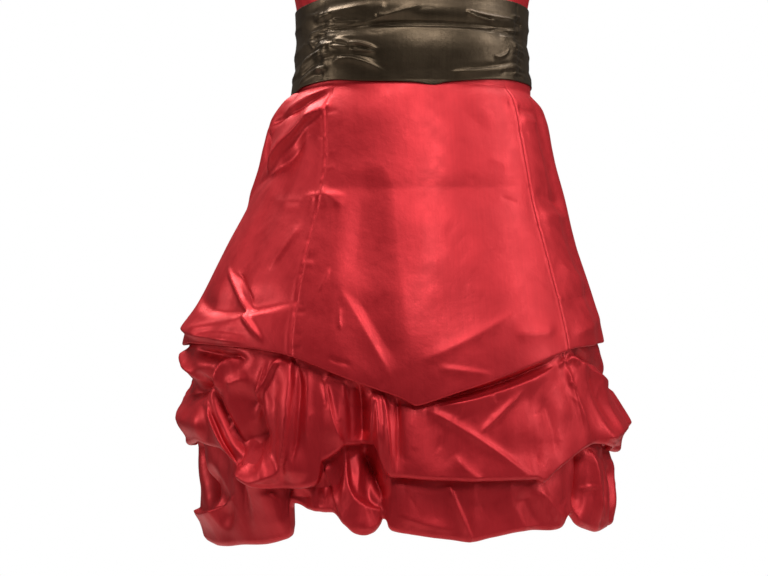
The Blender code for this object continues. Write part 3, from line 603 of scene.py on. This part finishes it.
# seed, count, angles, heights, slants, lengths, rises, widths
HIDDEN_OVERSKIRT = scattered(11, 46, BEHIND, (-0.29, -0.47), (25, 155), (25, 90), (0.8, 2.6), (2.0, 7.0))
HIDDEN_UPPER = scattered(12, 60, BEHIND, (-0.495, -0.565), (50, 130), (18, 60), (1.2, 4.0), (1.5, 5.0))
HIDDEN_LOWER = scattered(13, 50, BEHIND, (-0.58, -0.62), (50, 130), (15, 40), (1.0, 3.0), (1.5, 4.5))
SMALL_OVERSKIRT = scattered(21, 50, IN_FRONT, (-0.28, -0.47), (0, 180), (14, 50), (0.06, 0.20), (2.5, 6.0))
SMALL_UPPER = scattered(22, 44, IN_FRONT, (-0.49, -0.565), (40, 140), (10, 26), (0.15, 0.6), (1.4, 3.5))
SMALL_LOWER = scattered(23, 40, IN_FRONT, (-0.58, -0.62), (40, 140), (10, 24), (0.15, 0.6), (1.4, 3.5))
# seed, station of the seam, heights, spacing, lengths, rises, widths
LEFT_PUCKERS = puckers(31, -FRONT_SEAM, (-0.272, -0.468), (3.5, 17), (3, 13), (0.12, 0.5), (1.0, 2.4))
RIGHT_PUCKERS = puckers(32, FRONT_SEAM, (-0.272, -0.470), (8, 30), (5, 14), (0.2, 0.6), (1.2, 2.6))
BACK_PUCKERS = (puckers(33, -BACK_SEAM, (-0.272, -0.470), (6, 24), (6, 16), (0.2, 0.8), (1.2, 2.8))
                + puckers(34, BACK_SEAM, (-0.272, -0.470), (6, 24), (6, 16), (0.2, 0.8), (1.2, 2.8)))

OVERSKIRT_DETAIL = OVERSKIRT_CREASES + SMALL_OVERSKIRT + LEFT_PUCKERS + RIGHT_PUCKERS + BACK_PUCKERS
UPPER_DETAIL = UPPER_CREASES + SMALL_UPPER
LOWER_DETAIL = LOWER_CREASES + SMALL_LOWER

WAIST_EASE = 0.012           # height over which the overskirt's folds and creases grow to their full depth
WAIST_EASE_START = 0.004     # how far above the waist they would begin
OVERSKIRT_WAVES = (0.090, 0.040)  # longest and shortest of the soft waves
POUF_WAVES = (0.045, 0.020)
POUF_SWELL = 0.9             # less than 1 swells a pouf sooner below its join
SHORTEST_POUF = 0.02         # the least height over which a pouf swells
FOLD_ONSET = 3.0             # a pouf's folds are full one part in this many of the way down it
FINE_ONSET = 0.008           # height below the layer above over which a pouf's fine creases grow
UNDER_ONSET = 1.3            # above 1, creases that run in are full before the layer above ends
SWAG_CLEARANCE = (-5.0, -2.5, 0.0, 2.5, 5.0)  # degrees each way within which the layer above is cleared
FLATTER_FROM = (-8.0, 10.0)  # angle where a pouf's flatter stretch begins, and degrees until it is full
FLATTER_TO = (60.0, 15.0)    # angle where it ends, and degrees over which it does


def all_round(creases, hidden, angle, height):
    """Creases in front, and the hidden ones, whose angles run from 90 through the back to 270."""
    behind = np.asarray(angle) % 360.0
    return creases_shift(creases, angle, height) + creases_shift(hidden, behind, height)


def only_out(out):
    """A shift of the cloth that is only out of the form."""
    return np.stack((out, 0.0 * out, 0.0 * out), axis=-1)


def overskirt_shift(angle, height, station):
    near_waist = ease((SKIRT_TOP + WAIST_EASE_START - height) / WAIST_EASE)
    fine = all_round(OVERSKIRT_DETAIL, HIDDEN_OVERSKIRT, angle, height)
    waves = soft_waves(41, angle, height, *OVERSKIRT_WAVES)
    plain = folds_out(OVERSKIRT_FOLDS, angle, height) + waves + seams_out(station, height)
    return near_waist[..., None] * (fine + only_out(plain))


def swell(share, angle):
    """How full a pouf is, from 0 at the edge above it to 1 near its own. Right of the front it is flatter."""
    full = np.sin(np.clip(share, 0.0, 1.0) * math.pi / 2) ** POUF_SWELL
    begins, settles = FLATTER_FROM
    ends, fades = FLATTER_TO
    flatter = ease((angle - begins) / settles) * ease((ends - angle) / fades)
    return full + flatter * (np.clip(share, 0.0, 1.0) - full)


def clear_of(table, angle):
    """The height below which a layer is clear of the layer above it and of that layer's next swags."""
    return np.min([round_body(table, 1, angle + aside) for aside in SWAG_CLEARANCE], axis=0)


def pouf_shift(angle, height, station, table, folds, fine, waves, above_table, above_shift, above_turn):
    """A pouf starts inside the layer above it, where the two are sewn, and swells below that layer's edge."""
    above_edge = round_body(above_table, 1, angle)
    above_low = above_edge + above_turn["radius"]
    near_join = np.clip((height - above_low) / above_turn["under"], 0.0, 1.0)
    inside = 2 * above_turn["radius"] + LAYER_GAP + (JOIN_GAP - LAYER_GAP) * near_join
    clear = clear_of(above_table, angle)
    edge = round_body(table, 1, angle)
    reach = round_body(table, 2, angle)
    start = above_shift(angle, np.maximum(height, above_low), station)[..., 0] - inside
    share = (clear - height) / np.maximum(clear - edge, SHORTEST_POUF)
    below = np.clip(share * FOLD_ONSET, 0.0, 1.0)
    form = start + (reach - start) * swell(share, angle) + below * folds_out(folds, angle, height)
    free = ease((above_edge - height) / FINE_ONSET)
    under = ease(UNDER_ONSET * (1.0 - near_join))
    total = fine * free[..., None]
    total[..., 0] = np.where(fine[..., 0] < 0, fine[..., 0] * under, total[..., 0])
    return total + only_out(form + free * waves)


def upper_shift(angle, height, station):
    fine = all_round(UPPER_DETAIL, HIDDEN_UPPER, angle, height)
    waves = soft_waves(42, angle, height, *POUF_WAVES)
    return pouf_shift(angle, height, station, UPPER_POUF, UPPER_POUF_FOLDS, fine, waves,
                      OVERSKIRT_EDGE, overskirt_shift, OVERSKIRT_TURN)


def lower_shift(angle, height, station):
    fine = all_round(LOWER_DETAIL, HIDDEN_LOWER, angle, height)
    waves = soft_waves(43, angle, height, *POUF_WAVES)
    return pouf_shift(angle, height, station, LOWER_POUF, LOWER_POUF_FOLDS, fine, waves,
                      UPPER_POUF, upper_shift, UPPER_TURN)


# ---- Sheets of cloth ----
SEAM_STEPS = (0.0, 0.5, 1.0, 1.6, 2.4, 3.4)   # mm from a seam to each of the columns beside it
ROOT = "root"


def panel_columns(start, end, spacing, radius):
    """Stations of a panel's columns: close together beside its seams and even between them."""
    degrees = [math.degrees(step * MM / radius) for step in SEAM_STEPS]
    first, last = start + degrees[-1], end - degrees[-1]
    count = int(round((last - first) / spacing))
    middle = np.linspace(first, last, count + 1)
    left = [start + step for step in degrees[:-1]]
    right = [end - step for step in reversed(degrees[:-1])]
    return np.concatenate((left, middle, right))


def cloth_sheet(name, points, finish, node):
    """A sheet of cloth through a grid of points, its threads laid along its rows and columns."""
    row_count, column_count = points.shape[:2]
    mesh = bpy.data.meshes.new(name)
    number = np.arange(row_count * column_count).reshape(row_count, column_count)
    faces = np.stack((number[:-1, :-1], number[1:, :-1], number[1:, 1:], number[:-1, 1:]), axis=-1)
    mesh.from_pydata(points.reshape(-1, 3).tolist(), [], faces.reshape(-1, 4).tolist())
    down = np.zeros((row_count, column_count))
    down[1:] = np.cumsum(np.linalg.norm(np.diff(points, axis=0), axis=-1), axis=0)
    across = np.zeros((row_count, column_count))
    across[:, 1:] = np.cumsum(np.linalg.norm(np.diff(points, axis=1), axis=-1), axis=1)
    across -= across.mean(axis=1, keepdims=True)
    threads = mesh.uv_layers.new(name="threads")
    corners = np.zeros(len(mesh.loops), np.int32)
    mesh.loops.foreach_get("vertex_index", corners)
    laid = np.stack((across.ravel(), -down.ravel()), axis=-1)[corners]
    threads.data.foreach_set("uv", laid.astype(np.float32).ravel())
    mesh.shade_smooth()
    mesh.materials.append(finish)
    piece = bpy.data.objects.new(name, mesh)
    bpy.context.scene.collection.objects.link(piece)
    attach(piece, ROOT)
    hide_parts(node)
    return piece


# ---- Skirt ----
PANEL_NAMES = ("back_left", "side_left", "front", "side_right", "back_right")
PANEL_SPACING = (1.0, 0.36, 0.32, 0.5, 1.0)   # degrees between columns
SKIRT_RADIUS = 0.15          # of the skirt where the columns beside its seams are spaced
EDGE_LEVEL = -0.5            # height where a column's true angle is taken for the tables of edges
UNDER_SASH = 0.004           # how far the overskirt runs up under the sash
TURN_ROWS = 7
INSIDE_ROWS = 6


def shifted(angle, height, shift, inside=0.0):
    """Points on the skirt's form, moved by a shift of the cloth."""
    turned = angle + np.degrees(shift[..., 1] / girth_of(height))
    return on_skirt(turned, height + shift[..., 2], shift[..., 0] - inside)


def layer_rows(station, top, edge_table, turn, shift_of, row_height):
    """The rows of one layer: down its outside, round its edge, and up inside to its join."""
    middle_angle = seam_angle(station, EDGE_LEVEL)
    low = round_body(edge_table, 1, middle_angle) + turn["radius"]
    first = top(middle_angle)
    count = int(round(float(np.max(first - low)) / row_height)) + 1
    share = np.linspace(0.0, 1.0, count)[:, None]
    height = first * (1 - share) + low * share
    angle = seam_angle(station, height)
    shift = shift_of(angle, height, station)
    outside = shifted(angle, height, shift)

    edge_angle, edge_shift = angle[-1], shift[-1:]
    radius = turn["radius"]
    bend = np.linspace(0.0, math.pi, TURN_ROWS + 2)[1:-1, None]
    edge = shifted(edge_angle, low - radius * np.sin(bend), edge_shift, radius * (1 - np.cos(bend)))

    rise = np.linspace(0.0, 1.0, INSIDE_ROWS)[:, None]
    height = low + rise * turn["under"]
    angle = seam_angle(station, height)
    inner_shift = edge_shift * (1 - rise[..., None]) + shift_of(angle, height, station) * rise[..., None]
    inside = shifted(angle, height, inner_shift, 2 * radius)
    return np.concatenate((outside, edge, inside))


def skirt_top(angle):
    """The overskirt starts under the sash's lower edge."""
    return round_body(SASH_EDGE, 1, angle) + UNDER_SASH


def join_under(above_table, turn):
    return lambda angle: round_body(above_table, 1, angle) + turn["radius"] + turn["under"]


def make_skirt(satin):
    layers = (
        # name, top, edge, turned edge, shift of the cloth, height of a row, what it hangs from
        ("overskirt", skirt_top, OVERSKIRT_EDGE, OVERSKIRT_TURN, overskirt_shift, 0.0015, "bodice_front"),
        ("upper_pouf", join_under(OVERSKIRT_EDGE, OVERSKIRT_TURN), UPPER_POUF, UPPER_TURN, upper_shift,
         0.0009, "overskirt_front"),
        ("lower_pouf", join_under(UPPER_POUF, UPPER_TURN), LOWER_POUF, LOWER_TURN, lower_shift,
         0.0011, "upper_pouf_front"),
    )
    for layer, top, edge, turn, shift_of, row_height, hangs_from in layers:
        for panel, start, end, spacing in zip(PANEL_NAMES, SEAM_STATIONS, SEAM_STATIONS[1:], PANEL_SPACING):
            stations = panel_columns(start, end, spacing, SKIRT_RADIUS)
            rows = layer_rows(stations, top, edge, turn, shift_of, row_height)
            node = layer + "_" + panel
            cloth_sheet(node + "_satin", rows, satin, node)


# ---- Sash ----
SASH_ROWS = 116
SASH_RADIUS = 0.097
SASH_SPACING = {"sash_front": 0.36, "sash_back_left": 0.9, "sash_back_right": 0.9}  # degrees between columns
SIDE_FROM = (46.0, 14.0)     # angle where the flatter sides begin, and degrees until they are full
SASH_BORDER = 0.003          # height at each edge over which its creases die away
LEAST_OUT = (1.1, 1.0)       # mm that the sash stands out at least, and what its lower part adds
LOWER_PART = (-0.2560, 0.006)  # height where its lower part begins, and how far down that is full
GATHER_ANGLES = (-51.0, 54.5)  # where the front length is gathered at its ends
GATHERS_END = -0.264         # the puckers end just below this height
GATHER_SPACING = (2.0, 4.6)  # mm between puckers
GATHER_STRAY = 2.0           # degrees that a pucker's middle lies off the gathers at most
GATHER_LEFT = (4.0, 13.0)    # degrees that a pucker reaches
GATHER_RIGHT = (4.0, 12.0)
GATHER_DROP = 1.5            # mm that its ends lie above or below its middle at most
GATHER_RISE = (0.5, 1.3)     # mm
PUCKER_WIDTH = (1.1, 2.0)    # mm
DRAWN_IN = 0.4               # mm that the gathers draw the sash in
DRAWN_WIDTH = 2.5            # mm


def gather_creases(seed, angle):
    """Uneven puckers that run level out of a gathered seam, on both sides of it."""
    chance = np.random.default_rng(seed)
    creases = []
    height = SASH_TOP - MM
    while height > GATHERS_END:
        height -= chance.uniform(*GATHER_SPACING) * MM
        centre = angle + chance.uniform(-GATHER_STRAY, GATHER_STRAY)
        left, right = chance.uniform(*GATHER_LEFT), chance.uniform(*GATHER_RIGHT)
        drop = chance.uniform(-GATHER_DROP, GATHER_DROP) * MM
        rise = chance.uniform(*GATHER_RISE) * chance.choice((-1.0, 1.0))
        first, second = chance.uniform(*PUCKER_WIDTH), chance.uniform(*PUCKER_WIDTH)
        start, end = (centre - left, height - drop - MM), (centre + right, height + drop)
        creases.append((start, (centre, height), end, rise, first, second, 0.0))
    return tuple(creases)


SASH_SIDES = (
    # start, middle, end, rise, right or above, left or below, lean
    ((-60, -0.2160), (-110, -0.2185), (-176, -0.2150), 0.9, 3.5, 2.5, 0.0),
    ((-60, -0.2330), (-100, -0.2400), (-150, -0.2360), 1.0, 3.0, 4.5, 0.0),
    ((-64, -0.2460), (-112, -0.2500), (-172, -0.2450), -0.9, 3.0, 2.5, 0.0),
    ((-60, -0.2520), (-90, -0.2580), (-140, -0.2590), 0.9, 2.5, 3.5, 0.0),
    ((-90, -0.2250), (-130, -0.2290), (-176, -0.2270), -0.9, 2.0, 3.0, 0.0),
    ((60, -0.2170), (108, -0.2145), (176, -0.2160), 0.9, 3.0, 2.5, 0.0),
    ((58, -0.2270), (104, -0.2300), (158, -0.2265), -1.0, 2.5, 2.0, 0.0),
    ((60, -0.2400), (112, -0.2370), (174, -0.2420), 1.0, 3.5, 3.0, 0.0),
    ((64, -0.2530), (104, -0.2490), (150, -0.2500), -0.9, 2.5, 3.0, 0.0),
    ((60, -0.2580), (116, -0.2590), (172, -0.2560), 0.8, 2.5, 3.5, 0.0),
)
LEFT_GATHERS = gather_creases(51, GATHER_ANGLES[0])
RIGHT_GATHERS = gather_creases(52, GATHER_ANGLES[1])
SMALL_SASH = scattered(53, 26, IN_FRONT, (-0.212, -0.262), (-14, 14), (10, 30), (0.15, 0.5), (1.2, 2.4))
SASH_DETAIL = SASH_CREASES + LEFT_GATHERS + RIGHT_GATHERS + SMALL_SASH


def sash_out(angle, height):
    """The sash lies on the bodice in lengthwise folds, drawn in where its front length is gathered."""
    at_side = ease((np.abs(angle) - SIDE_FROM[0]) / SIDE_FROM[1])
    front = by_height(SASH_PROFILE, 1, height)
    side = by_height(SASH_PROFILE, 2, height)
    form = (front * (1 - at_side) + side * at_side) * MM
    away = [(angle - seam) * math.radians(1.0) * SASH_RADIUS / MM for seam in GATHER_ANGLES]
    drawn_in = sum(np.exp(-((distance / DRAWN_WIDTH) ** 2)) for distance in away)
    fine = creases_shift(SASH_DETAIL + SASH_SIDES, angle, height)[..., 0]
    top, low = round_body(SASH_TOP_EDGE, 1, angle), round_body(SASH_EDGE, 1, angle)
    inside = ease((top - height) / SASH_BORDER) * ease((height - low) / SASH_BORDER)
    least = (LEAST_OUT[0] + LEAST_OUT[1] * ease((LOWER_PART[0] - height) / LOWER_PART[1])) * MM
    return np.maximum(form + inside * (fine - DRAWN_IN * MM * drawn_in), least)


def make_sash(bronze):
    seams = (-180.0, -SASH_SEAM, SASH_SEAM, 180.0)
    names = ("sash_back_left", "sash_front", "sash_back_right")
    for node, start, end in zip(names, seams, seams[1:]):
        stations = panel_columns(start, end, SASH_SPACING[node], SASH_RADIUS)
        top, low = round_body(SASH_TOP_EDGE, 1, stations), round_body(SASH_EDGE, 1, stations)
        share = np.linspace(0.0, 1.0, SASH_ROWS)[:, None]
        height = top * (1 - share) + low * share
        out = sash_out(stations, height)
        tucks = (
            # height, out
            (top - 0.0046, 0.0004 + 0.0 * low),  # tucked in behind
            (top + 0.0003, out[0] - 0.0009),     # over the top edge
            (height, out),                       # down the front
            (low - 0.0004, out[-1] - 0.0008),    # round the lower edge
            (low + 0.0040, out[-1] - 0.0016),    # and up behind it
        )
        rows = [np.atleast_3d(on_bodice(stations, *tuck)).reshape(-1, len(stations), 3) for tuck in tucks]
        cloth_sheet(node + "_satin", np.concatenate(rows), bronze, node)


# ---- Bodice ----
BODICE_COLUMNS = 56
BELOW_SASH = 0.0025          # how far the sash draws the bodice in
BODICE_GAP = 0.00004         # between two panels of the bodice
BODICE_THICKNESS = 0.0009
MERGE_WITHIN = 0.00005       # where the two halves of the front meet
NECK_ROWS = 30
ARMHOLE_ROWS = 26
CHEST_ROWS = 70
SMOOTH_ABOVE_SASH = 0.012    # height above the sash over which the bodice's creases die away
SMOOTH_CENTRE = 4.0          # degrees from its centre over which they do
DRAWN_IN_FROM = 0.001        # how far below the sash's top the bodice begins to be drawn in
DRAWN_IN_OVER = 0.006        # the height until it is drawn in fully
BODICE_CREASES = (
    # start, middle, end, rise, right or above, left or below, lean
    ((20, -0.1500), (24, -0.1800), (20, -0.2120), 1.0, 5.0, 6.0, 0.0),
    ((40, -0.1650), (46, -0.1900), (44, -0.2120), -1.2, 5.0, 5.0, 0.0),
    ((66, -0.1350), (74, -0.1650), (70, -0.2100), 1.4, 6.0, 5.0, 0.0),
    ((3, -0.1700), (7, -0.1900), (5, -0.2120), -0.8, 5.0, 7.0, 0.0),
    ((52, -0.1180), (64, -0.1340), (80, -0.1400), -1.2, 3.0, 4.0, 0.0),
)
SMALL_BODICE = scattered(61, 16, (10, 84), (-0.13, -0.21), (60, 120), (12, 40), (0.2, 0.7), (2.0, 5.0))


def shoulder_depth(height):
    """Share of the chest's depth at a height on the round from the shoulder line to the underarm."""
    return math.sqrt(1.0 - (1.0 - height / UNDERARM) ** 2)


def armhole_angle(height):
    """Where the armhole's edge lies at a height."""
    return STRAP_OUTER + (90.0 - STRAP_OUTER) * (1.0 - math.sqrt(1.0 - min(height / UNDERARM, 1.0) ** 2))


def bodice_half(neck, centre_gap):
    """Grid of one half of the bodice, from the shoulder seam down to the waist, in front of the shoulder."""
    chest_width, chest_depth = BODICE_FORM[0][1:]
    side_gap = math.degrees(BODICE_GAP / 2 / chest_width)
    seam_height = UNDERARM * (BODICE_GAP / 2 / chest_depth) ** 2
    edge_rows = [(seam_height, STRAP_INNER)]
    for turn in np.radians(np.linspace(0.0, 90.0, NECK_ROWS + 1)[1:]):
        edge_rows.append((neck * math.sin(turn), STRAP_INNER * math.cos(turn)))
    armhole_rise = math.degrees(math.asin(neck / UNDERARM))
    for turn in np.radians(np.linspace(armhole_rise, 90.0, ARMHOLE_ROWS + 1)[1:]):
        edge_rows.append((UNDERARM * math.sin(turn), 0.0))
    rows = []
    for height, inner in edge_rows:
        half_width = SHOULDER_WIDTH + (chest_width - SHOULDER_WIDTH) * height / UNDERARM
        angles = np.linspace(max(inner, centre_gap), armhole_angle(height) - side_gap, BODICE_COLUMNS)
        depth = chest_depth * shoulder_depth(height)
        rows.append(place(angles, height, half_width, half_width, depth, depth, 0.0))
    for height in np.linspace(UNDERARM, WAIST, CHEST_ROWS + 1)[1:]:
        angles = np.linspace(centre_gap, 90.0 - side_gap, BODICE_COLUMNS)
        above_sash = ease((height - SASH_TOP) / SMOOTH_ABOVE_SASH)
        from_centre = ease(angles / SMOOTH_CENTRE)
        fine = creases_shift(BODICE_CREASES + SMALL_BODICE, angles, height)[..., 0]
        drawn_in = BELOW_SASH * ease((SASH_TOP - DRAWN_IN_FROM - height) / DRAWN_IN_OVER)
        rows.append(on_bodice(angles, height, above_sash * from_centre * fine - drawn_in))
    return np.array(rows)


def mirrored(points, axis):
    """The other half of a grid, with its columns turned round so that it still faces out."""
    flipped = points[:, ::-1].copy()
    flipped[..., axis] *= -1
    return flipped


def thicken(piece):
    """A second face inside the cloth, so that the neckline and armholes show a finished edge."""
    wall = piece.modifiers.new("cloth thickness", "SOLIDIFY")
    wall.thickness = BODICE_THICKNESS
    wall.offset = -1.0
    wall.use_even_offset = True


def make_bodice(satin):
    centre_gap = math.degrees(BODICE_GAP / 2 / BODICE_FORM[-1][1])
    front = bodice_half(FRONT_NECK, 0.0)
    back = bodice_half(BACK_NECK, centre_gap)
    right = mirrored(back, 1)
    left = mirrored(right, 0)
    for node, points in (("bodice_back_right", right), ("bodice_back_left", left)):
        piece = cloth_sheet(node + "_satin", points, satin, node)
        thicken(piece)
    piece = cloth_sheet("bodice_front_satin", front, satin, "bodice_front")
    mirror = piece.modifiers.new("other half", "MIRROR")
    mirror.use_axis[0] = True
    mirror.use_clip = True
    mirror.merge_threshold = MERGE_WITHIN
    thicken(piece)


# ---- Satin ----
STREAK_SHARE = 0.45          # how much the streaks count beside the patches
DEEP_SHADE = (0.45, 1.0)     # streaks and patches where the deep colour begins, and where it is full
DULL_NAP = (0.3, 0.7)        # crush where the nap is smooth, and where it is dull
BUMP_DEPTH = 0.001


def group_value(group, name, value, socket_type="NodeSocketFloat"):
    socket = group.interface.new_socket(name=name, in_out="INPUT", socket_type=socket_type)
    socket.default_value = value


def group_result(group, name, socket_type="NodeSocketFloat"):
    group.interface.new_socket(name=name, in_out="OUTPUT", socket_type=socket_type)


def blend_colours(nodes, kind="MIX"):
    node = nodes.new("ShaderNodeMix")
    node.data_type = "RGBA"
    node.blend_type = kind
    return node


def satin_weave():
    """Long floats of thread along the cloth, fine streaks in its colour, and a soft crush of the nap."""
    group = bpy.data.node_groups.new("satin weave", "ShaderNodeTree")
    group_value(group, "colour", (0.5, 0.1, 0.1, 1.0), "NodeSocketColor")
    group_value(group, "deep colour", (0.3, 0.05, 0.05, 1.0), "NodeSocketColor")
    group_value(group, "smooth", 0.3)
    group_value(group, "dull", 0.45)
    group_value(group, "thread height", 1.0)
    group_value(group, "crush height", 1.0)
    group_result(group, "colour", "NodeSocketColor")
    group_result(group, "roughness")
    group_result(group, "height")
    nodes, links = group.nodes, group.links
    given = nodes.new("NodeGroupInput")
    result = nodes.new("NodeGroupOutput")
    threads = nodes.new("ShaderNodeUVMap")
    threads.uv_map = "threads"

    def noise(scale, detail, roughness, stretch):
        mapping = nodes.new("ShaderNodeMapping")
        mapping.inputs["Scale"].default_value = stretch
        texture = nodes.new("ShaderNodeTexNoise")
        texture.inputs["Scale"].default_value = scale
        texture.inputs["Detail"].default_value = detail
        texture.inputs["Roughness"].default_value = roughness
        links.new(threads.outputs["UV"], mapping.inputs["Vector"])
        links.new(mapping.outputs["Vector"], texture.inputs["Vector"])
        return texture.outputs["Fac"]

    floats = noise(scale=900.0, detail=2.0, roughness=0.5, stretch=(4.0, 0.35, 1.0))
    streaks = noise(scale=160.0, detail=3.0, roughness=0.6, stretch=(3.0, 0.12, 1.0))
    crush = noise(scale=85.0, detail=5.0, roughness=0.62, stretch=(1.0, 1.0, 1.0))
    patches = noise(scale=22.0, detail=2.0, roughness=0.5, stretch=(1.0, 1.0, 1.0))

    tone = nodes.new("ShaderNodeMath")
    tone.operation = "MULTIPLY_ADD"
    tone.inputs[1].default_value = STREAK_SHARE
    links.new(streaks, tone.inputs[0])
    links.new(patches, tone.inputs[2])
    spread = nodes.new("ShaderNodeMapRange")
    spread.inputs["From Min"].default_value = DEEP_SHADE[0]
    spread.inputs["From Max"].default_value = DEEP_SHADE[1]
    links.new(tone.outputs[0], spread.inputs["Value"])
    colour = blend_colours(nodes)
    links.new(spread.outputs["Result"], colour.inputs["Factor"])
    links.new(given.outputs["colour"], colour.inputs["A"])
    links.new(given.outputs["deep colour"], colour.inputs["B"])
    links.new(colour.outputs["Result"], result.inputs["colour"])

    dullness = nodes.new("ShaderNodeMapRange")
    dullness.inputs["From Min"].default_value = DULL_NAP[0]
    dullness.inputs["From Max"].default_value = DULL_NAP[1]
    links.new(crush, dullness.inputs["Value"])
    links.new(given.outputs["smooth"], dullness.inputs["To Min"])
    links.new(given.outputs["dull"], dullness.inputs["To Max"])
    links.new(dullness.outputs["Result"], result.inputs["roughness"])

    def times(value, other):
        node = nodes.new("ShaderNodeMath")
        node.operation = "MULTIPLY"
        links.new(value, node.inputs[0])
        links.new(other, node.inputs[1])
        return node.outputs[0]

    height = nodes.new("ShaderNodeMath")
    height.operation = "ADD"
    links.new(times(floats, given.outputs["thread height"]), height.inputs[0])
    links.new(times(crush, given.outputs["crush height"]), height.inputs[1])
    links.new(height.outputs[0], result.inputs["height"])
    return group


def satin_finish(name, weave, values, metallic, coat, coat_roughness):
    material = bpy.data.materials.new(name)
    material.use_nodes = True
    nodes, links = material.node_tree.nodes, material.node_tree.links
    shader = nodes["Principled BSDF"]
    shader.inputs["Metallic"].default_value = metallic
    shader.inputs["Coat Weight"].default_value = coat
    shader.inputs["Coat Roughness"].default_value = coat_roughness
    cloth = nodes.new("ShaderNodeGroup")
    cloth.node_tree = weave
    for socket, value in values.items():
        cloth.inputs[socket].default_value = value
    links.new(cloth.outputs["colour"], shader.inputs["Base Color"])
    links.new(cloth.outputs["roughness"], shader.inputs["Roughness"])
    bump = nodes.new("ShaderNodeBump")
    bump.inputs["Strength"].default_value = 1.0
    bump.inputs["Distance"].default_value = BUMP_DEPTH
    links.new(cloth.outputs["height"], bump.inputs["Height"])
    links.new(bump.outputs["Normal"], shader.inputs["Normal"])
    return material


# ---- Studio ----
CAMERA_TURN = 6.5            # degrees round to the left of the centre front
CAMERA_YAW = 1.35            # degrees it looks to the left of the dress's axis
CAMERA_DISTANCE = 1.0
CAMERA_HEIGHT = -0.430
LENS = 55.78
MIDDLE = (0.0, 0.0, -0.38)   # of the dress, where every lamp aims
LAMPS = (
    # name, place, size, power, colour
    ("key", (0.19, -1.09, 0.39), 0.45, 5.0, (1.0, 0.97, 0.94)),
    ("top", (-0.22, -0.60, 0.81), 0.45, 5.0, (1.0, 0.96, 0.92)),
    ("upper left", (-0.57, 0.27, 0.81), 0.45, 11.0, (1.0, 0.95, 0.90)),
    ("left rim", (-0.43, 0.75, 0.65), 0.45, 6.5, (1.0, 0.94, 0.88)),
    ("low left", (-1.32, -0.12, -0.15), 0.45, 3.4, (1.0, 0.95, 0.90)),
    ("upper right", (0.29, -0.49, 0.84), 0.45, 2.8, (1.0, 0.97, 0.94)),
    ("right", (1.04, -0.38, 0.39), 0.45, 3.8, (1.0, 0.97, 0.94)),
    ("right rim", (0.67, 0.12, 0.79), 0.45, 5.0, (1.0, 0.97, 0.94)),
    ("low right", (1.25, -0.46, -0.15), 0.45, 3.0, (1.0, 0.97, 0.94)),
    ("back", (0.2, 1.6, 0.5), 1.0, 8.0, (1.0, 1.0, 1.0)),
)
AMBIENT = (0.066, 0.062, 0.059, 1.0)  # light that the room gives back
BACKDROP = (1.0, 1.0, 1.0, 1.0)
FLOOR_BELOW_HEM = 0.48
FLOOR_RADIUS = 1.6
FLOOR_COLOUR = (0.85, 0.83, 0.80, 1.0)


def add_lamp(name, location, size, power, colour):
    light = bpy.data.lights.new(name, "AREA")
    light.shape = "DISK"
    light.size = size
    light.energy = power
    light.color = colour
    lamp = bpy.data.objects.new(name, light)
    lamp.location = location
    lamp.rotation_euler = (Vector(MIDDLE) - Vector(location)).to_track_quat("-Z", "Y").to_euler()
    bpy.context.scene.collection.objects.link(lamp)


def make_studio():
    scene = bpy.context.scene
    camera = bpy.data.objects.new("camera", bpy.data.cameras.new("camera"))
    camera.data.lens = LENS
    camera.data.clip_end = 50.0
    turn = math.radians(CAMERA_TURN)
    camera.location = (-math.sin(turn) * CAMERA_DISTANCE, -math.cos(turn) * CAMERA_DISTANCE, CAMERA_HEIGHT)
    camera.rotation_euler = (math.radians(90.0), 0.0, math.radians(CAMERA_YAW - CAMERA_TURN))
    scene.collection.objects.link(camera)
    scene.camera = camera
    scene.view_settings.view_transform = "Standard"

    for lamp in LAMPS:
        add_lamp(*lamp)

    world = bpy.data.worlds.new("studio")
    scene.world = world
    world.use_nodes = True
    nodes, links = world.node_tree.nodes, world.node_tree.links
    background = nodes["Background"]
    path = nodes.new("ShaderNodeLightPath")
    shown = blend_colours(nodes)
    shown.inputs["A"].default_value = AMBIENT
    shown.inputs["B"].default_value = BACKDROP
    links.new(path.outputs["Is Camera Ray"], shown.inputs["Factor"])
    links.new(shown.outputs["Result"], background.inputs["Color"])

    hem = min(float(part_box(node)[0].z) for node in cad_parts)
    bpy.ops.mesh.primitive_circle_add(vertices=96, radius=FLOOR_RADIUS, fill_type="NGON",
                                      location=(0.0, 0.0, hem - FLOOR_BELOW_HEM))
    floor = bpy.context.object
    floor.name = "floor"
    pale = bpy.data.materials.new("pale floor")
    pale.use_nodes = True
    shader = pale.node_tree.nodes["Principled BSDF"]
    shader.inputs["Base Color"].default_value = FLOOR_COLOUR
    shader.inputs["Roughness"].default_value = 0.9
    floor.data.materials.append(pale)


# ---- Build ----
weave = satin_weave()
red_satin = satin_finish(
    "red satin", weave,
    {"colour": (0.62, 0.021, 0.032, 1.0), "deep colour": (0.50, 0.013, 0.022, 1.0),
     "smooth": 0.40, "dull": 0.55, "thread height": 0.015, "crush height": 0.35},
    metallic=0.55, coat=0.04, coat_roughness=0.26)
bronze_satin = satin_finish(
    "bronze satin", weave,
    {"colour": (0.115, 0.084, 0.053, 1.0), "deep colour": (0.065, 0.046, 0.028, 1.0),
     "smooth": 0.33, "dull": 0.44, "thread height": 0.03, "crush height": 0.30},
    metallic=0.85, coat=0.04, coat_roughness=0.30)

make_bodice(red_satin)
make_sash(bronze_satin)
make_skirt(red_satin)
make_studio()

bpy.context.view_layer.update()
